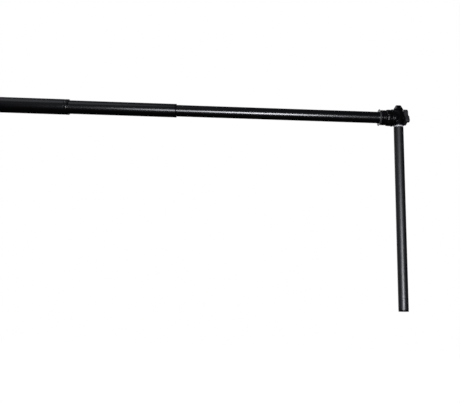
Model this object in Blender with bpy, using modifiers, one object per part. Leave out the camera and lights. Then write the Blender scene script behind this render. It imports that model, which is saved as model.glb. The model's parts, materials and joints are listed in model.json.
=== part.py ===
"""A telescoping background crossbar on the riser of its stand.

Three nested tubes reach along -X from an end fitting that clamps on the stand's stud.
The bar's far end carries a like fitting, sized for the thick tube, with its socket empty.
Units are metres and +Z is up. The origin is the middle of the riser's foot.
Heights and lengths along the bar are measured from where the bar's axis meets the post's axis.
"""

import math

import bmesh
import bpy
from mathutils import Matrix, Vector

# Fits and facets
GAP = 0.0003
SIDES = 26
SMALL_SIDES = 24
PIN_SIDES = 12
FLUTE_SIDES = 6
CUT_OVERRUN = 0.020

# The bar's three tubes
OUTER_OD = 0.040
MIDDLE_OD = 0.035
INNER_OD = 0.030
TUBE_WALL = 0.0012
OUTER_LENGTH = 1.160
MIDDLE_LENGTH = 1.130
INNER_LENGTH = 1.100
INNER_SHOWN = 0.5278
MIDDLE_SHOWN = 0.2738

# Mouth bushes and glides, which guide one tube in the next
BUSH_LENGTH = 0.060
BUSH_LIP = 0.0037
BUSH_LIP_RISE = 0.0002
GLIDE_LENGTH = 0.060
GLIDE_SETBACK = 0.030
GLIDE_SLIT = 0.004
CRIMP_SETBACK = 0.0082
CRIMP_WIDTH = 0.0013
CRIMP_DEPTH = 0.0004

# Twist locks inside the tubes
PLUG_DEPTH = 0.025
PLUG_FLANGE = 0.003
CAM_INSET = 0.0035
CAM_LENGTH = 0.018
CAM_OFFSET = 0.0008
LOCK_WASHER_RISE = 0.0025
LOCK_WASHER = 0.0025
LOCK_SCREW_OD = 0.004
LOCK_SCREW_HEAD_OD = 0.008
LOCK_SCREW_HEAD = 0.0022
LOCK_SCREW_DEPTH = 0.015
SHOE_SLOT = 0.006
SHOE_GROOVES = 2
SHOE_GROOVE_DEPTH = 0.0008
SHOE_GROOVE_WIDTH = 0.0024
RIVET_OD = 0.004
RIVET_HEAD_OD = 0.006
RIVET_HEAD = 0.0004
RIVET_SETBACK = 0.012

# Stand riser, its foot and its stud
RISER_OD = 0.025
RISER_WALL = 0.0012
BAR_HEIGHT = 0.500
FOOT_THICKNESS = 0.003
FOOT_PLUG_DEPTH = 0.020
FOOT_CHAMFER = 0.0008
SHOULDER_OD = 0.0245
SHOULDER_HEIGHT = 0.0038
SHOULDER_CHAMFER = 0.0005
SPIGOT_PLUG_DEPTH = 0.030
SPIGOT_PIN_OD = 0.003
SPIGOT_PIN_SETBACK = 0.015
SPIGOT_PIN_TURN_DEG = -16.0
STUD_OD = 0.016
STUD_HEIGHT = 0.034
STUD_CHAMFER = 0.0012
WAIST_OD = 0.0136
WAIST_CENTRE = 0.0217
WAIST_HEIGHT = 0.012
WAIST_RAMP = 0.0012

# End fitting's body
NECK_WALL = 0.0020
NECK_LENGTH = 0.0143
SOCKET_FLOOR = 0.002
STOP_FLANGE_START = 0.0155
STOP_FLANGE_WIDTH = 0.0042
STOP_FLANGE_RISE = 0.00555
BARREL_END = 0.006
BARREL_TAPER = 0.005
BARREL_STEP = 0.0043
EDGE = 0.0006
HUB_OD = 0.028
HUB_DROP = 0.0041
HUB_SHOULDER = 0.0025
CAP_RISE = 0.0027
STUD_ROOM = 0.0022
BOSS_OD = 0.023
BOSS_END = 0.0115
BOSS_TAPER = 0.002
NOSE_OD = 0.017
NOSE_END = 0.017

# Faceted cap on the hub, square at its top and eight-sided at its skirt
CAP_SKIRT_WIDTH = 0.0248
CAP_SKIRT_HEIGHT = 0.0030
CAP_TOP_WIDTH = 0.0130
CAP_TOP_CORNER = 0.0020
CAP_HEIGHT = 0.0134
CAP_SPIGOT_OD = 0.012
CAP_SPIGOT_DEPTH = 0.0022

# Split collet, locking sleeve and mouth ring
COLLET_LENGTH = 0.0124
COLLET_TAPER_LENGTH = 0.0067
COLLET_TAPER = 0.0010
COLLET_CUTS = 3
COLLET_CUT_WIDTH = 0.0012
SLEEVE_WALL = 0.0022
FRONT_BAND = 0.0120
BAND_GROOVES = 2
BAND_GROOVE_WIDTH = 0.0016
BAND_GROOVE_DEPTH = 0.0006
BAND_STEP = 0.0033
GRIP_RISE = 0.0017
GRIP_FLUTES = 16
FLUTE_OD = 0.0030
FLUTE_DEPTH = 0.0009
GRIP_HEEL = 0.0012
RING_LENGTH = 0.0047
RING_RISE = 0.0018
RING_RIM = 0.0026
RING_BEVEL = 0.0007
RING_HUB_RISE = 0.0030

# Clamp: insert, nose pad, screw and knob
SCREW_OD = 0.0078
PAD_LENGTH = 0.003
INSERT_OD = 0.012
INSERT_LENGTH = 0.0077
INSERT_FLANGE_OD = 0.015
INSERT_FLANGE = 0.001
KNOB_DEPTH = 0.0103
KNOB_REACH = 0.0240
KNOB_WAIST = 0.0115
KNOB_LOBES = 3
KNOB_POINTS = 36
KNOB_LOBE_POWER = 2
KNOB_EDGE = 0.0016
KNOB_TURN_DEG = 63.0
KNOB_RECESS_OD = 0.0184
KNOB_RECESS_ROOM = 0.0006
KNOB_HUB_OD = 0.016
KNOB_HUB_RISE = 0.0031
KNOB_HUB_BEVEL = 0.0010
SCREW_IN_KNOB = 0.006

# Radii and places that follow from the sizes above
OUTER_R = OUTER_OD / 2
MIDDLE_R = MIDDLE_OD / 2
INNER_R = INNER_OD / 2
RISER_R = RISER_OD / 2
STUD_R = STUD_OD / 2
SOCKET_STOP = HUB_OD / 2 + SOCKET_FLOOR
KNOB_BACK = HUB_OD / 2 + GAP
RING_FACE = STOP_FLANGE_START + STOP_FLANGE_WIDTH + NECK_LENGTH + COLLET_LENGTH + RING_LENGTH + 3 * GAP
INNER_START = SOCKET_STOP + GAP
INNER_END = INNER_START + INNER_LENGTH
MIDDLE_LIP = RING_FACE + INNER_SHOWN
MIDDLE_START = MIDDLE_LIP + BUSH_LIP + GAP
MIDDLE_END = MIDDLE_START + MIDDLE_LENGTH
OUTER_LIP = MIDDLE_LIP + BUSH_LIP + MIDDLE_SHOWN
OUTER_START = OUTER_LIP + BUSH_LIP + GAP
OUTER_END = OUTER_START + OUTER_LENGTH
FAR_REACH = OUTER_END + GAP + SOCKET_STOP

# Turns that lay a piece modelled along +Z along -X or +X
ALONG_BAR = (0.0, -math.pi / 2, 0.0)
AWAY_FROM_BAR = (0.0, math.pi / 2, 0.0)

# A turn about +Z that keeps a small cutter's corners off those of the piece it meets
HALF_FACET = (0.0, 0.0, math.pi / SMALL_SIDES)


def clear_scene():
    """Remove every object that the start-up scene holds."""
    for obj in list(bpy.data.objects):
        bpy.data.objects.remove(obj, do_unlink=True)


def new_collection(name):
    """Return a collection of that name, linked to the scene."""
    collection = bpy.data.collections.new(name)
    bpy.context.scene.collection.children.link(collection)
    return collection


def make_material(name, colour, roughness, metallic=0.0):
    """Return a Principled material with one colour, roughness and metallic value."""
    material = bpy.data.materials.new(name)
    material.use_nodes = True
    shader = material.node_tree.nodes["Principled BSDF"]
    shader.inputs["Base Color"].default_value = (*colour, 1.0)
    shader.inputs["Roughness"].default_value = roughness
    shader.inputs["Metallic"].default_value = metallic
    return material


def add_object(name, mesh, collection, parent=None, location=(0.0, 0.0, 0.0), turn=(0.0, 0.0, 0.0)):
    """Link an object that holds the mesh, under its parent, and return it."""
    obj = bpy.data.objects.new(name, mesh)
    collection.objects.link(obj)
    obj.parent = parent
    obj.location = location
    obj.rotation_euler = turn
    return obj


def add_empty(name, collection, location, turn=(0.0, 0.0, 0.0), parent=None):
    """Link an empty that carries a group of pieces, and return it."""
    empty = bpy.data.objects.new(name, None)
    empty.empty_display_size = 0.03
    collection.objects.link(empty)
    empty.parent = parent
    empty.location = location
    empty.rotation_euler = turn
    return empty


def turned(name, profile, collection, closed=False, sides=SIDES, **place):
    """Turn a profile of (radius, height) points about the piece's own Z axis.

    The profile runs down the outer side. A closed one makes a ring, an open one ends on the axis.
    """
    mesh = bpy.data.meshes.new(name)
    count = len(profile)
    edges = [(i, i + 1) for i in range(count - 1)]
    if closed:
        edges.append((count - 1, 0))
    mesh.from_pydata([(radius, 0.0, height) for radius, height in profile], edges, [])
    obj = add_object(name, mesh, collection, **place)
    screw = obj.modifiers.new("turn", "SCREW")
    screw.axis = "Z"
    screw.angle = 2 * math.pi
    screw.steps = sides
    screw.render_steps = sides
    screw.use_merge_vertices = True
    screw.merge_threshold = 0.00001
    return obj


def ring_profile(outer, inner, low, high):
    """Return the closed profile of a plain ring."""
    return [(outer, high), (outer, low), (inner, low), (inner, high)]


def rod_profile(radius, low, high, chamfer=0.0):
    """Return the open profile of a solid rod, with a chamfer on its upper edge."""
    points = [(0.0, high), (radius - chamfer, high)]
    if chamfer > 0.0:
        points.append((radius, high - chamfer))
    return points + [(radius, low), (0.0, low)]


def box(name, size, centre, collection, **place):
    """Return a box whose mesh is centred on a point of the piece's own frame."""
    mesh = bpy.data.meshes.new(name)
    shape = bmesh.new()
    bmesh.ops.create_cube(shape, size=1.0)
    bmesh.ops.scale(shape, vec=Vector(size), verts=shape.verts)
    bmesh.ops.translate(shape, vec=Vector(centre), verts=shape.verts)
    shape.to_mesh(mesh)
    shape.free()
    return add_object(name, mesh, collection, **place)


def rods(name, radius, low, high, matrices, collection, sides=PIN_SIDES, **place):
    """Return one object that holds a rod along +Z for each matrix.

    A rod is turned by half a facet, so that its corners miss those of a round piece that it crosses.
    """
    mesh = bpy.data.meshes.new(name)
    shape = bmesh.new()
    middle = Matrix.Translation((0.0, 0.0, (low + high) / 2)) @ Matrix.Rotation(math.pi / sides, 4, "Z")
    for matrix in matrices:
        bmesh.ops.create_cone(
            shape,
            cap_ends=True,
            segments=sides,
            radius1=radius,
            radius2=radius,
            depth=high - low,
            matrix=matrix @ middle,
        )
    shape.to_mesh(mesh)
    shape.free()
    return add_object(name, mesh, collection, **place)


def cut_square(width, corner, height):
    """Return the eight corners of a level square whose own corners are cut off."""
    half = width / 2
    near = half - corner
    outline = [
        (half, -near),
        (half, near),
        (near, half),
        (-near, half),
        (-half, near),
        (-half, -near),
        (-near, -half),
        (near, -half),
    ]
    return [(x, y, height) for x, y in outline]


def octagon(width, height):
    """Return the corners of a level regular octagon of that width across its flats."""
    return cut_square(width, width * (1 - math.sqrt(0.5)), height)


def stacked(name, rings, collection, **place):
    """Return a closed block with flat sides between level rings, the top one first."""
    count = len(rings[0])
    points = [point for ring in rings for point in ring]
    faces = [tuple(range(count)), tuple(reversed(range(len(points) - count, len(points))))]
    for start in range(0, len(points) - count, count):
        for index in range(count):
            following = (index + 1) % count
            upper = (start + index, start + following)
            faces.append((upper[0], upper[0] + count, upper[1] + count, upper[1]))
    mesh = bpy.data.meshes.new(name)
    mesh.from_pydata(points, [], faces)
    return add_object(name, mesh, collection, **place)


def use(obj, tool, operation):
    """Cut a tool from an object, or join it to it, with an exact Boolean."""
    modifier = obj.modifiers.new(tool.name, "BOOLEAN")
    modifier.operation = operation
    modifier.solver = "EXACT"
    modifier.object = tool
    tool.hide_render = True
    tool.display_type = "WIRE"


def cut(obj, *tools):
    """Cut each tool from the object."""
    for tool in tools:
        use(obj, tool, "DIFFERENCE")


def join(obj, *tools):
    """Join each tool to the object."""
    for tool in tools:
        use(obj, tool, "UNION")


def paint(material, *objects):
    """Give each object the material."""
    for obj in objects:
        obj.data.materials.append(material)


class FittingSizes:
    """The radii and heights of an end fitting, worked out from its tube's radius."""

    def __init__(self, tube_r):
        self.socket_r = tube_r + GAP
        self.neck_r = self.socket_r + NECK_WALL
        self.sleeve_bore = self.neck_r + GAP
        self.band_r = self.sleeve_bore + SLEEVE_WALL
        self.grip_r = self.band_r + GRIP_RISE
        self.flange_end = STOP_FLANGE_START + STOP_FLANGE_WIDTH
        self.neck_end = self.flange_end + NECK_LENGTH
        self.collet_start = self.neck_end + GAP
        self.collet_end = self.collet_start + COLLET_LENGTH
        self.sleeve_end = self.collet_end + GAP
        self.ring_start = self.sleeve_end + GAP
        self.hub_bottom = -(self.neck_r + HUB_DROP)
        self.shoulder_top = self.hub_bottom - GAP
        self.stud_top = self.shoulder_top + STUD_HEIGHT
        self.clamp_height = self.shoulder_top + WAIST_CENTRE
        self.cap_seat = self.neck_r + CAP_RISE


class Finishes:
    """The materials that the pieces share."""

    def __init__(self):
        self.tube = make_material("satin_black_tube", (0.018, 0.019, 0.021), 0.32, 0.6)
        self.casting = make_material("black_casting", (0.014, 0.014, 0.015), 0.42)
        self.moulding = make_material("black_moulding", (0.020, 0.020, 0.021), 0.55)
        self.ring = make_material("dark_polished_ring", (0.12, 0.12, 0.125), 0.30, 0.9)
        self.steel = make_material("bright_steel", (0.78, 0.78, 0.80), 0.22, 1.0)
        self.brass = make_material("brass", (0.72, 0.52, 0.24), 0.30, 1.0)
        self.nylon = make_material("pale_nylon", (0.72, 0.70, 0.64), 0.50)


def build_riser(parts, tools, finishes):
    """Make the post's top section with its foot, its stud and the pin that holds the stud."""
    bore = RISER_R - RISER_WALL
    fitting = FittingSizes(INNER_R)
    shoulder_bottom = fitting.shoulder_top - SHOULDER_HEIGHT
    riser_top = BAR_HEIGHT + shoulder_bottom - GAP
    post = add_empty("post_axis", parts, (0.0, 0.0, 0.0))
    tube = turned(
        "riser_tube",
        ring_profile(RISER_R, bore, FOOT_THICKNESS + GAP, riser_top),
        parts,
        closed=True,
        parent=post,
    )
    foot = turned(
        "riser_foot_plug",
        [
            (0.0, FOOT_THICKNESS + FOOT_PLUG_DEPTH),
            (bore - GAP - FOOT_CHAMFER, FOOT_THICKNESS + FOOT_PLUG_DEPTH),
            (bore - GAP, FOOT_THICKNESS + FOOT_PLUG_DEPTH - FOOT_CHAMFER),
            (bore - GAP, FOOT_THICKNESS),
            (RISER_R, FOOT_THICKNESS),
            (RISER_R, FOOT_CHAMFER),
            (RISER_R - FOOT_CHAMFER, 0.0),
            (0.0, 0.0),
        ],
        parts,
        sides=SMALL_SIDES,
        parent=post,
    )
    shoulder_r = SHOULDER_OD / 2
    waist_r = WAIST_OD / 2
    waist_low = fitting.clamp_height - WAIST_HEIGHT / 2
    waist_high = fitting.clamp_height + WAIST_HEIGHT / 2
    spigot = turned(
        "stand_spigot",
        [
            (0.0, fitting.stud_top),
            (STUD_R - STUD_CHAMFER, fitting.stud_top),
            (STUD_R, fitting.stud_top - STUD_CHAMFER),
            (STUD_R, waist_high + WAIST_RAMP),
            (waist_r, waist_high),
            (waist_r, waist_low),
            (STUD_R, waist_low - WAIST_RAMP),
            (STUD_R, fitting.shoulder_top),
            (shoulder_r - SHOULDER_CHAMFER, fitting.shoulder_top),
            (shoulder_r, fitting.shoulder_top - SHOULDER_CHAMFER),
            (shoulder_r, shoulder_bottom),
            (bore - GAP, shoulder_bottom),
            (bore - GAP, shoulder_bottom - SPIGOT_PLUG_DEPTH),
            (0.0, shoulder_bottom - SPIGOT_PLUG_DEPTH),
        ],
        parts,
        sides=SMALL_SIDES,
        parent=post,
        location=(0.0, 0.0, BAR_HEIGHT),
    )
    pin_place = {
        "parent": post,
        "location": (0.0, 0.0, riser_top - SPIGOT_PIN_SETBACK),
        "turn": (0.0, math.pi / 2, math.radians(SPIGOT_PIN_TURN_DEG)),
    }
    pin_r = SPIGOT_PIN_OD / 2
    across = [Matrix.Identity(4)]
    pin = rods("spigot_pin", pin_r, GAP - RISER_R, RISER_R - GAP, across, parts, **pin_place)
    pin_hole = rods("spigot_pin_hole", pin_r + GAP, -RISER_OD, RISER_OD, across, tools, **pin_place)
    cut(tube, pin_hole)
    cut(spigot, pin_hole)
    paint(finishes.tube, tube)
    paint(finishes.moulding, foot)
    paint(finishes.steel, spigot, pin)


def fitting_body(side, sizes, parts, tools, frame, clamp):
    """Make a fitting's body: neck, stop flange and barrel, the hub on the stud, and the clamp's boss."""
    neck_r = sizes.neck_r
    neck_end = sizes.neck_end
    flange_r = neck_r + STOP_FLANGE_RISE
    flange_end = sizes.flange_end
    body = turned(
        side + "_elbow_body",
        [
            (0.0, SOCKET_STOP),
            (sizes.socket_r, SOCKET_STOP),
            (sizes.socket_r, neck_end),
            (neck_r, neck_end),
            (neck_r, flange_end),
            (flange_r - EDGE, flange_end),
            (flange_r, flange_end - EDGE),
            (flange_r, STOP_FLANGE_START + EDGE),
            (flange_r - EDGE, STOP_FLANGE_START),
            (neck_r, STOP_FLANGE_START),
            (neck_r, BARREL_END),
            (neck_r - BARREL_STEP, BARREL_END - BARREL_TAPER),
            (0.0, BARREL_END - BARREL_TAPER),
        ],
        parts,
        parent=frame,
        turn=ALONG_BAR,
    )
    hub_r = HUB_OD / 2
    hub_bottom = sizes.hub_bottom
    cap_seat = sizes.cap_seat
    hub = turned(
        side + "_hub",
        [
            (0.0, cap_seat),
            (hub_r - HUB_SHOULDER, cap_seat),
            (hub_r, cap_seat - HUB_SHOULDER),
            (hub_r, hub_bottom + EDGE),
            (hub_r - EDGE, hub_bottom),
            (0.0, hub_bottom),
        ],
        tools,
        parent=frame,
    )
    boss_r = BOSS_OD / 2
    nose_r = NOSE_OD / 2
    boss = turned(
        side + "_clamp_boss",
        [
            (0.0, NOSE_END),
            (nose_r, NOSE_END),
            (nose_r, BOSS_END + BOSS_TAPER),
            (boss_r, BOSS_END),
            (boss_r, 0.0),
            (0.0, 0.0),
        ],
        tools,
        sides=SMALL_SIDES,
        parent=clamp,
    )
    join(body, hub, boss)
    stud_socket = turned(
        side + "_stud_socket",
        rod_profile(STUD_R + GAP, hub_bottom - CUT_OVERRUN, sizes.stud_top + STUD_ROOM),
        tools,
        sides=SMALL_SIDES,
        parent=frame,
        turn=HALF_FACET,
    )
    cap_socket = turned(
        side + "_cap_socket",
        rod_profile(CAP_SPIGOT_OD / 2 + GAP, cap_seat - CAP_SPIGOT_DEPTH - GAP, cap_seat + CUT_OVERRUN),
        tools,
        sides=SMALL_SIDES,
        parent=frame,
        turn=HALF_FACET,
    )
    seat_r = INSERT_OD / 2 + GAP
    seat_floor = NOSE_END - INSERT_LENGTH - GAP
    hole_r = SCREW_OD / 2 + GAP
    clamp_bore = turned(
        side + "_clamp_bore",
        [
            (0.0, NOSE_END + CUT_OVERRUN),
            (seat_r, NOSE_END + CUT_OVERRUN),
            (seat_r, seat_floor),
            (hole_r, seat_floor),
            (hole_r, STUD_R / 2),
            (0.0, STUD_R / 2),
        ],
        tools,
        sides=PIN_SIDES,
        parent=clamp,
    )
    cut(body, stud_socket, cap_socket, clamp_bore)
    return body


def fitting_cap(side, sizes, parts, frame):
    """Make the faceted cap that closes the hub."""
    seat = sizes.cap_seat + GAP
    spigot_end = sizes.cap_seat - CAP_SPIGOT_DEPTH
    spigot_width = CAP_SPIGOT_OD * math.cos(math.pi / 8)
    rings = [
        cut_square(CAP_TOP_WIDTH, CAP_TOP_CORNER, seat + CAP_HEIGHT),
        octagon(CAP_SKIRT_WIDTH, seat + CAP_SKIRT_HEIGHT),
        octagon(CAP_SKIRT_WIDTH, seat),
        octagon(spigot_width, seat),
        octagon(spigot_width, spigot_end),
    ]
    return stacked(side + "_top_cap", rings, parts, parent=frame)


def fitting_collet(side, sizes, parts, tools, frame):
    """Make the split collet that grips the tube in front of the neck."""
    bore = sizes.socket_r
    outer = sizes.neck_r
    low = sizes.collet_start
    high = sizes.collet_end
    collet = turned(
        side + "_collet",
        [
            (outer - COLLET_TAPER, high),
            (outer, high - COLLET_TAPER_LENGTH),
            (outer, low),
            (bore, low),
            (bore, high),
        ],
        parts,
        closed=True,
        parent=frame,
        turn=ALONG_BAR,
    )
    root = high - COLLET_TAPER_LENGTH
    for index in range(COLLET_CUTS):
        slot = box(
            f"{side}_collet_cut_{index}",
            (COLLET_CUT_WIDTH, 4 * outer, COLLET_TAPER_LENGTH + CUT_OVERRUN),
            (0.0, 0.0, root + (COLLET_TAPER_LENGTH + CUT_OVERRUN) / 2),
            tools,
            parent=collet,
            turn=(0.0, 0.0, math.pi * (index + 0.5) / COLLET_CUTS),
        )
        cut(collet, slot)
    return collet


def fitting_sleeve(side, sizes, parts, tools, frame):
    """Make the threaded locking sleeve: a grooved front band, a step and a fluted grip."""
    bore = sizes.sleeve_bore
    band_r = sizes.band_r
    grip_r = sizes.grip_r
    low = sizes.flange_end + GAP
    high = sizes.sleeve_end
    taper_start = sizes.collet_end - COLLET_TAPER_LENGTH
    mouth = bore - COLLET_TAPER * (high - taper_start) / COLLET_TAPER_LENGTH
    band_end = high - FRONT_BAND
    profile = [(band_r - EDGE, high), (band_r, high - EDGE)]
    pitch = FRONT_BAND / (BAND_GROOVES + 1)
    for index in range(BAND_GROOVES):
        middle = high - pitch * (index + 1)
        profile.append((band_r, middle + BAND_GROOVE_WIDTH / 2))
        profile.append((band_r - BAND_GROOVE_DEPTH, middle))
        profile.append((band_r, middle - BAND_GROOVE_WIDTH / 2))
    profile.append((band_r, band_end))
    profile.append((band_r - EDGE, band_end - EDGE))
    profile.append((band_r - EDGE, band_end - BAND_STEP + GRIP_RISE + EDGE))
    profile.append((grip_r, band_end - BAND_STEP))
    profile.append((grip_r, low + EDGE))
    profile.append((grip_r - EDGE, low))
    profile.append((bore, low))
    profile.append((bore, taper_start))
    profile.append((mouth, high))
    sleeve = turned(side + "_lock_sleeve", profile, parts, closed=True, parent=frame, turn=ALONG_BAR)
    flute_r = FLUTE_OD / 2
    centre = grip_r - FLUTE_DEPTH + flute_r
    places = []
    for index in range(GRIP_FLUTES):
        turn = Matrix.Rotation(2 * math.pi * index / GRIP_FLUTES, 4, "Z")
        places.append(turn @ Matrix.Translation((centre, 0.0, 0.0)))
    low_end = low + GRIP_HEEL
    high_end = band_end - BAND_STEP + GRIP_RISE
    flutes = rods(
        side + "_grip_flutes", flute_r, low_end, high_end, places, tools, sides=FLUTE_SIDES, parent=sleeve
    )
    cut(sleeve, flutes)
    return sleeve


def fitting_mouth_ring(side, sizes, parts, frame):
    """Make the flanged ring that closes the sleeve's mouth and rides in and out with it."""
    bore = sizes.socket_r
    rim = sizes.band_r + RING_RISE
    low = sizes.ring_start
    high = low + RING_LENGTH
    hub = bore + RING_HUB_RISE
    rim_low = high - RING_RIM
    return turned(
        side + "_mouth_ring",
        [
            (rim - RING_BEVEL, high),
            (rim, high - RING_BEVEL),
            (rim, rim_low + RING_BEVEL),
            (rim - RING_BEVEL, rim_low),
            (hub, rim_low),
            (hub, low),
            (bore, low),
            (bore, high),
        ],
        parts,
        closed=True,
        parent=frame,
        turn=ALONG_BAR,
    )


def lobe_radius(angle):
    """Return the knob outline's radius at an angle from a lobe's middle."""
    share = ((1 + math.cos(KNOB_LOBES * angle)) / 2) ** KNOB_LOBE_POWER
    return KNOB_WAIST + (KNOB_REACH - KNOB_WAIST) * share


def knob_plate(name, low, high, parts, **place):
    """Return the lobed plate of the knob, with rounded edges, as a mesh."""
    curve = bpy.data.curves.new(name, "CURVE")
    curve.dimensions = "2D"
    curve.fill_mode = "BOTH"
    curve.extrude = (high - low) / 2 - KNOB_EDGE
    curve.bevel_depth = KNOB_EDGE
    curve.bevel_resolution = 0
    curve.offset = -KNOB_EDGE
    outline = curve.splines.new("POLY")
    outline.points.add(KNOB_POINTS - 1)
    for index, point in enumerate(outline.points):
        angle = 2 * math.pi * index / KNOB_POINTS
        radius = lobe_radius(angle)
        point.co = (radius * math.cos(angle), radius * math.sin(angle), 0.0, 1.0)
    outline.use_cyclic_u = True
    draft = add_object(name + "_outline", curve, parts)
    bpy.context.view_layer.update()
    graph = bpy.context.evaluated_depsgraph_get()
    mesh = bpy.data.meshes.new_from_object(draft.evaluated_get(graph))
    bpy.data.objects.remove(draft, do_unlink=True)
    mesh.name = name
    shape = bmesh.new()
    shape.from_mesh(mesh)
    bmesh.ops.remove_doubles(shape, verts=shape.verts, dist=0.000005)
    bmesh.ops.translate(shape, vec=Vector((0.0, 0.0, (low + high) / 2)), verts=shape.verts)
    shape.to_mesh(mesh)
    shape.free()
    return add_object(name, mesh, parts, **place)


def fitting_clamp(side, parts, tools, clamp):
    """Make the clamp: thread insert in the boss, nose pad, screw and three-lobed knob."""
    screw_r = SCREW_OD / 2
    insert_low = NOSE_END - INSERT_LENGTH
    insert_high = NOSE_END + GAP + INSERT_FLANGE
    insert = turned(
        side + "_thread_insert",
        [
            (INSERT_FLANGE_OD / 2, insert_high),
            (INSERT_FLANGE_OD / 2, NOSE_END + GAP),
            (INSERT_OD / 2, NOSE_END + GAP),
            (INSERT_OD / 2, insert_low),
            (screw_r + GAP, insert_low),
            (screw_r + GAP, insert_high),
        ],
        parts,
        closed=True,
        sides=PIN_SIDES,
        parent=clamp,
    )
    pad_low = WAIST_OD / 2 + GAP
    pad_high = pad_low + PAD_LENGTH
    pad = turned(
        side + "_clamp_pad",
        rod_profile(screw_r, pad_low, pad_high),
        parts,
        sides=PIN_SIDES,
        parent=clamp,
    )
    recess_floor = insert_high + KNOB_RECESS_ROOM
    screw_end = recess_floor + SCREW_IN_KNOB
    screw = turned(
        side + "_clamp_screw",
        rod_profile(screw_r, pad_high + GAP, screw_end - GAP),
        parts,
        sides=PIN_SIDES,
        parent=clamp,
    )
    knob_high = KNOB_BACK + KNOB_DEPTH
    knob = knob_plate(side + "_clamp_knob", KNOB_BACK, knob_high, parts, parent=clamp)
    spin = Matrix.Rotation(math.radians(KNOB_TURN_DEG), 4, "Z")
    knob.data.transform(spin)
    hub_r = KNOB_HUB_OD / 2
    hub = turned(
        side + "_knob_hub",
        [
            (0.0, knob_high + KNOB_HUB_RISE),
            (hub_r - KNOB_HUB_BEVEL, knob_high + KNOB_HUB_RISE),
            (hub_r, knob_high + KNOB_HUB_RISE - KNOB_HUB_BEVEL),
            (hub_r, knob_high - KNOB_EDGE),
            (0.0, knob_high - KNOB_EDGE),
        ],
        tools,
        sides=SMALL_SIDES,
        parent=knob,
    )
    recess = turned(
        side + "_knob_recess",
        rod_profile(KNOB_RECESS_OD / 2, KNOB_BACK - CUT_OVERRUN, recess_floor),
        tools,
        sides=SMALL_SIDES,
        parent=knob,
    )
    screw_seat = turned(
        side + "_screw_seat",
        rod_profile(screw_r + GAP, recess_floor - CUT_OVERRUN, screw_end),
        tools,
        sides=PIN_SIDES,
        parent=knob,
    )
    join(knob, hub)
    cut(knob, recess, screw_seat)
    return insert, pad, screw, knob


def build_fitting(side, tube_r, place, turn_deg, parts, tools, finishes):
    """Make one end fitting for a tube of that radius, with its mouth towards the bar."""
    sizes = FittingSizes(tube_r)
    frame = add_empty(side + "_fitting", parts, place, (0.0, 0.0, math.radians(turn_deg)))
    clamp = add_empty(side + "_clamp_axis", parts, (0.0, 0.0, sizes.clamp_height), AWAY_FROM_BAR, frame)
    body = fitting_body(side, sizes, parts, tools, frame, clamp)
    cap = fitting_cap(side, sizes, parts, frame)
    collet = fitting_collet(side, sizes, parts, tools, frame)
    sleeve = fitting_sleeve(side, sizes, parts, tools, frame)
    ring = fitting_mouth_ring(side, sizes, parts, frame)
    insert, pad, screw, knob = fitting_clamp(side, parts, tools, clamp)
    print(f"{side} fitting: clamp axis {sizes.clamp_height:.4f}, hub's foot {sizes.hub_bottom:.4f}")
    paint(finishes.casting, body)
    paint(finishes.moulding, cap, sleeve, knob)
    paint(finishes.ring, ring)
    paint(finishes.nylon, collet)
    paint(finishes.brass, insert, pad)
    paint(finishes.steel, screw)


def build_bush(name, tube_od, inside_od, lip_start, parts, axis):
    """Make the bush in a tube's mouth, with the lip that shows in front of it."""
    outer = tube_od / 2 - TUBE_WALL - GAP
    bore = inside_od / 2 + GAP
    lip_r = tube_od / 2 + BUSH_LIP_RISE
    lip_end = lip_start + BUSH_LIP
    return turned(
        name,
        [
            (outer, lip_end + BUSH_LENGTH),
            (outer, lip_end),
            (lip_r, lip_end),
            (lip_r, lip_start + EDGE),
            (lip_r - EDGE, lip_start),
            (bore, lip_start),
            (bore, lip_end + BUSH_LENGTH),
        ],
        parts,
        closed=True,
        parent=axis,
    )


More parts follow.
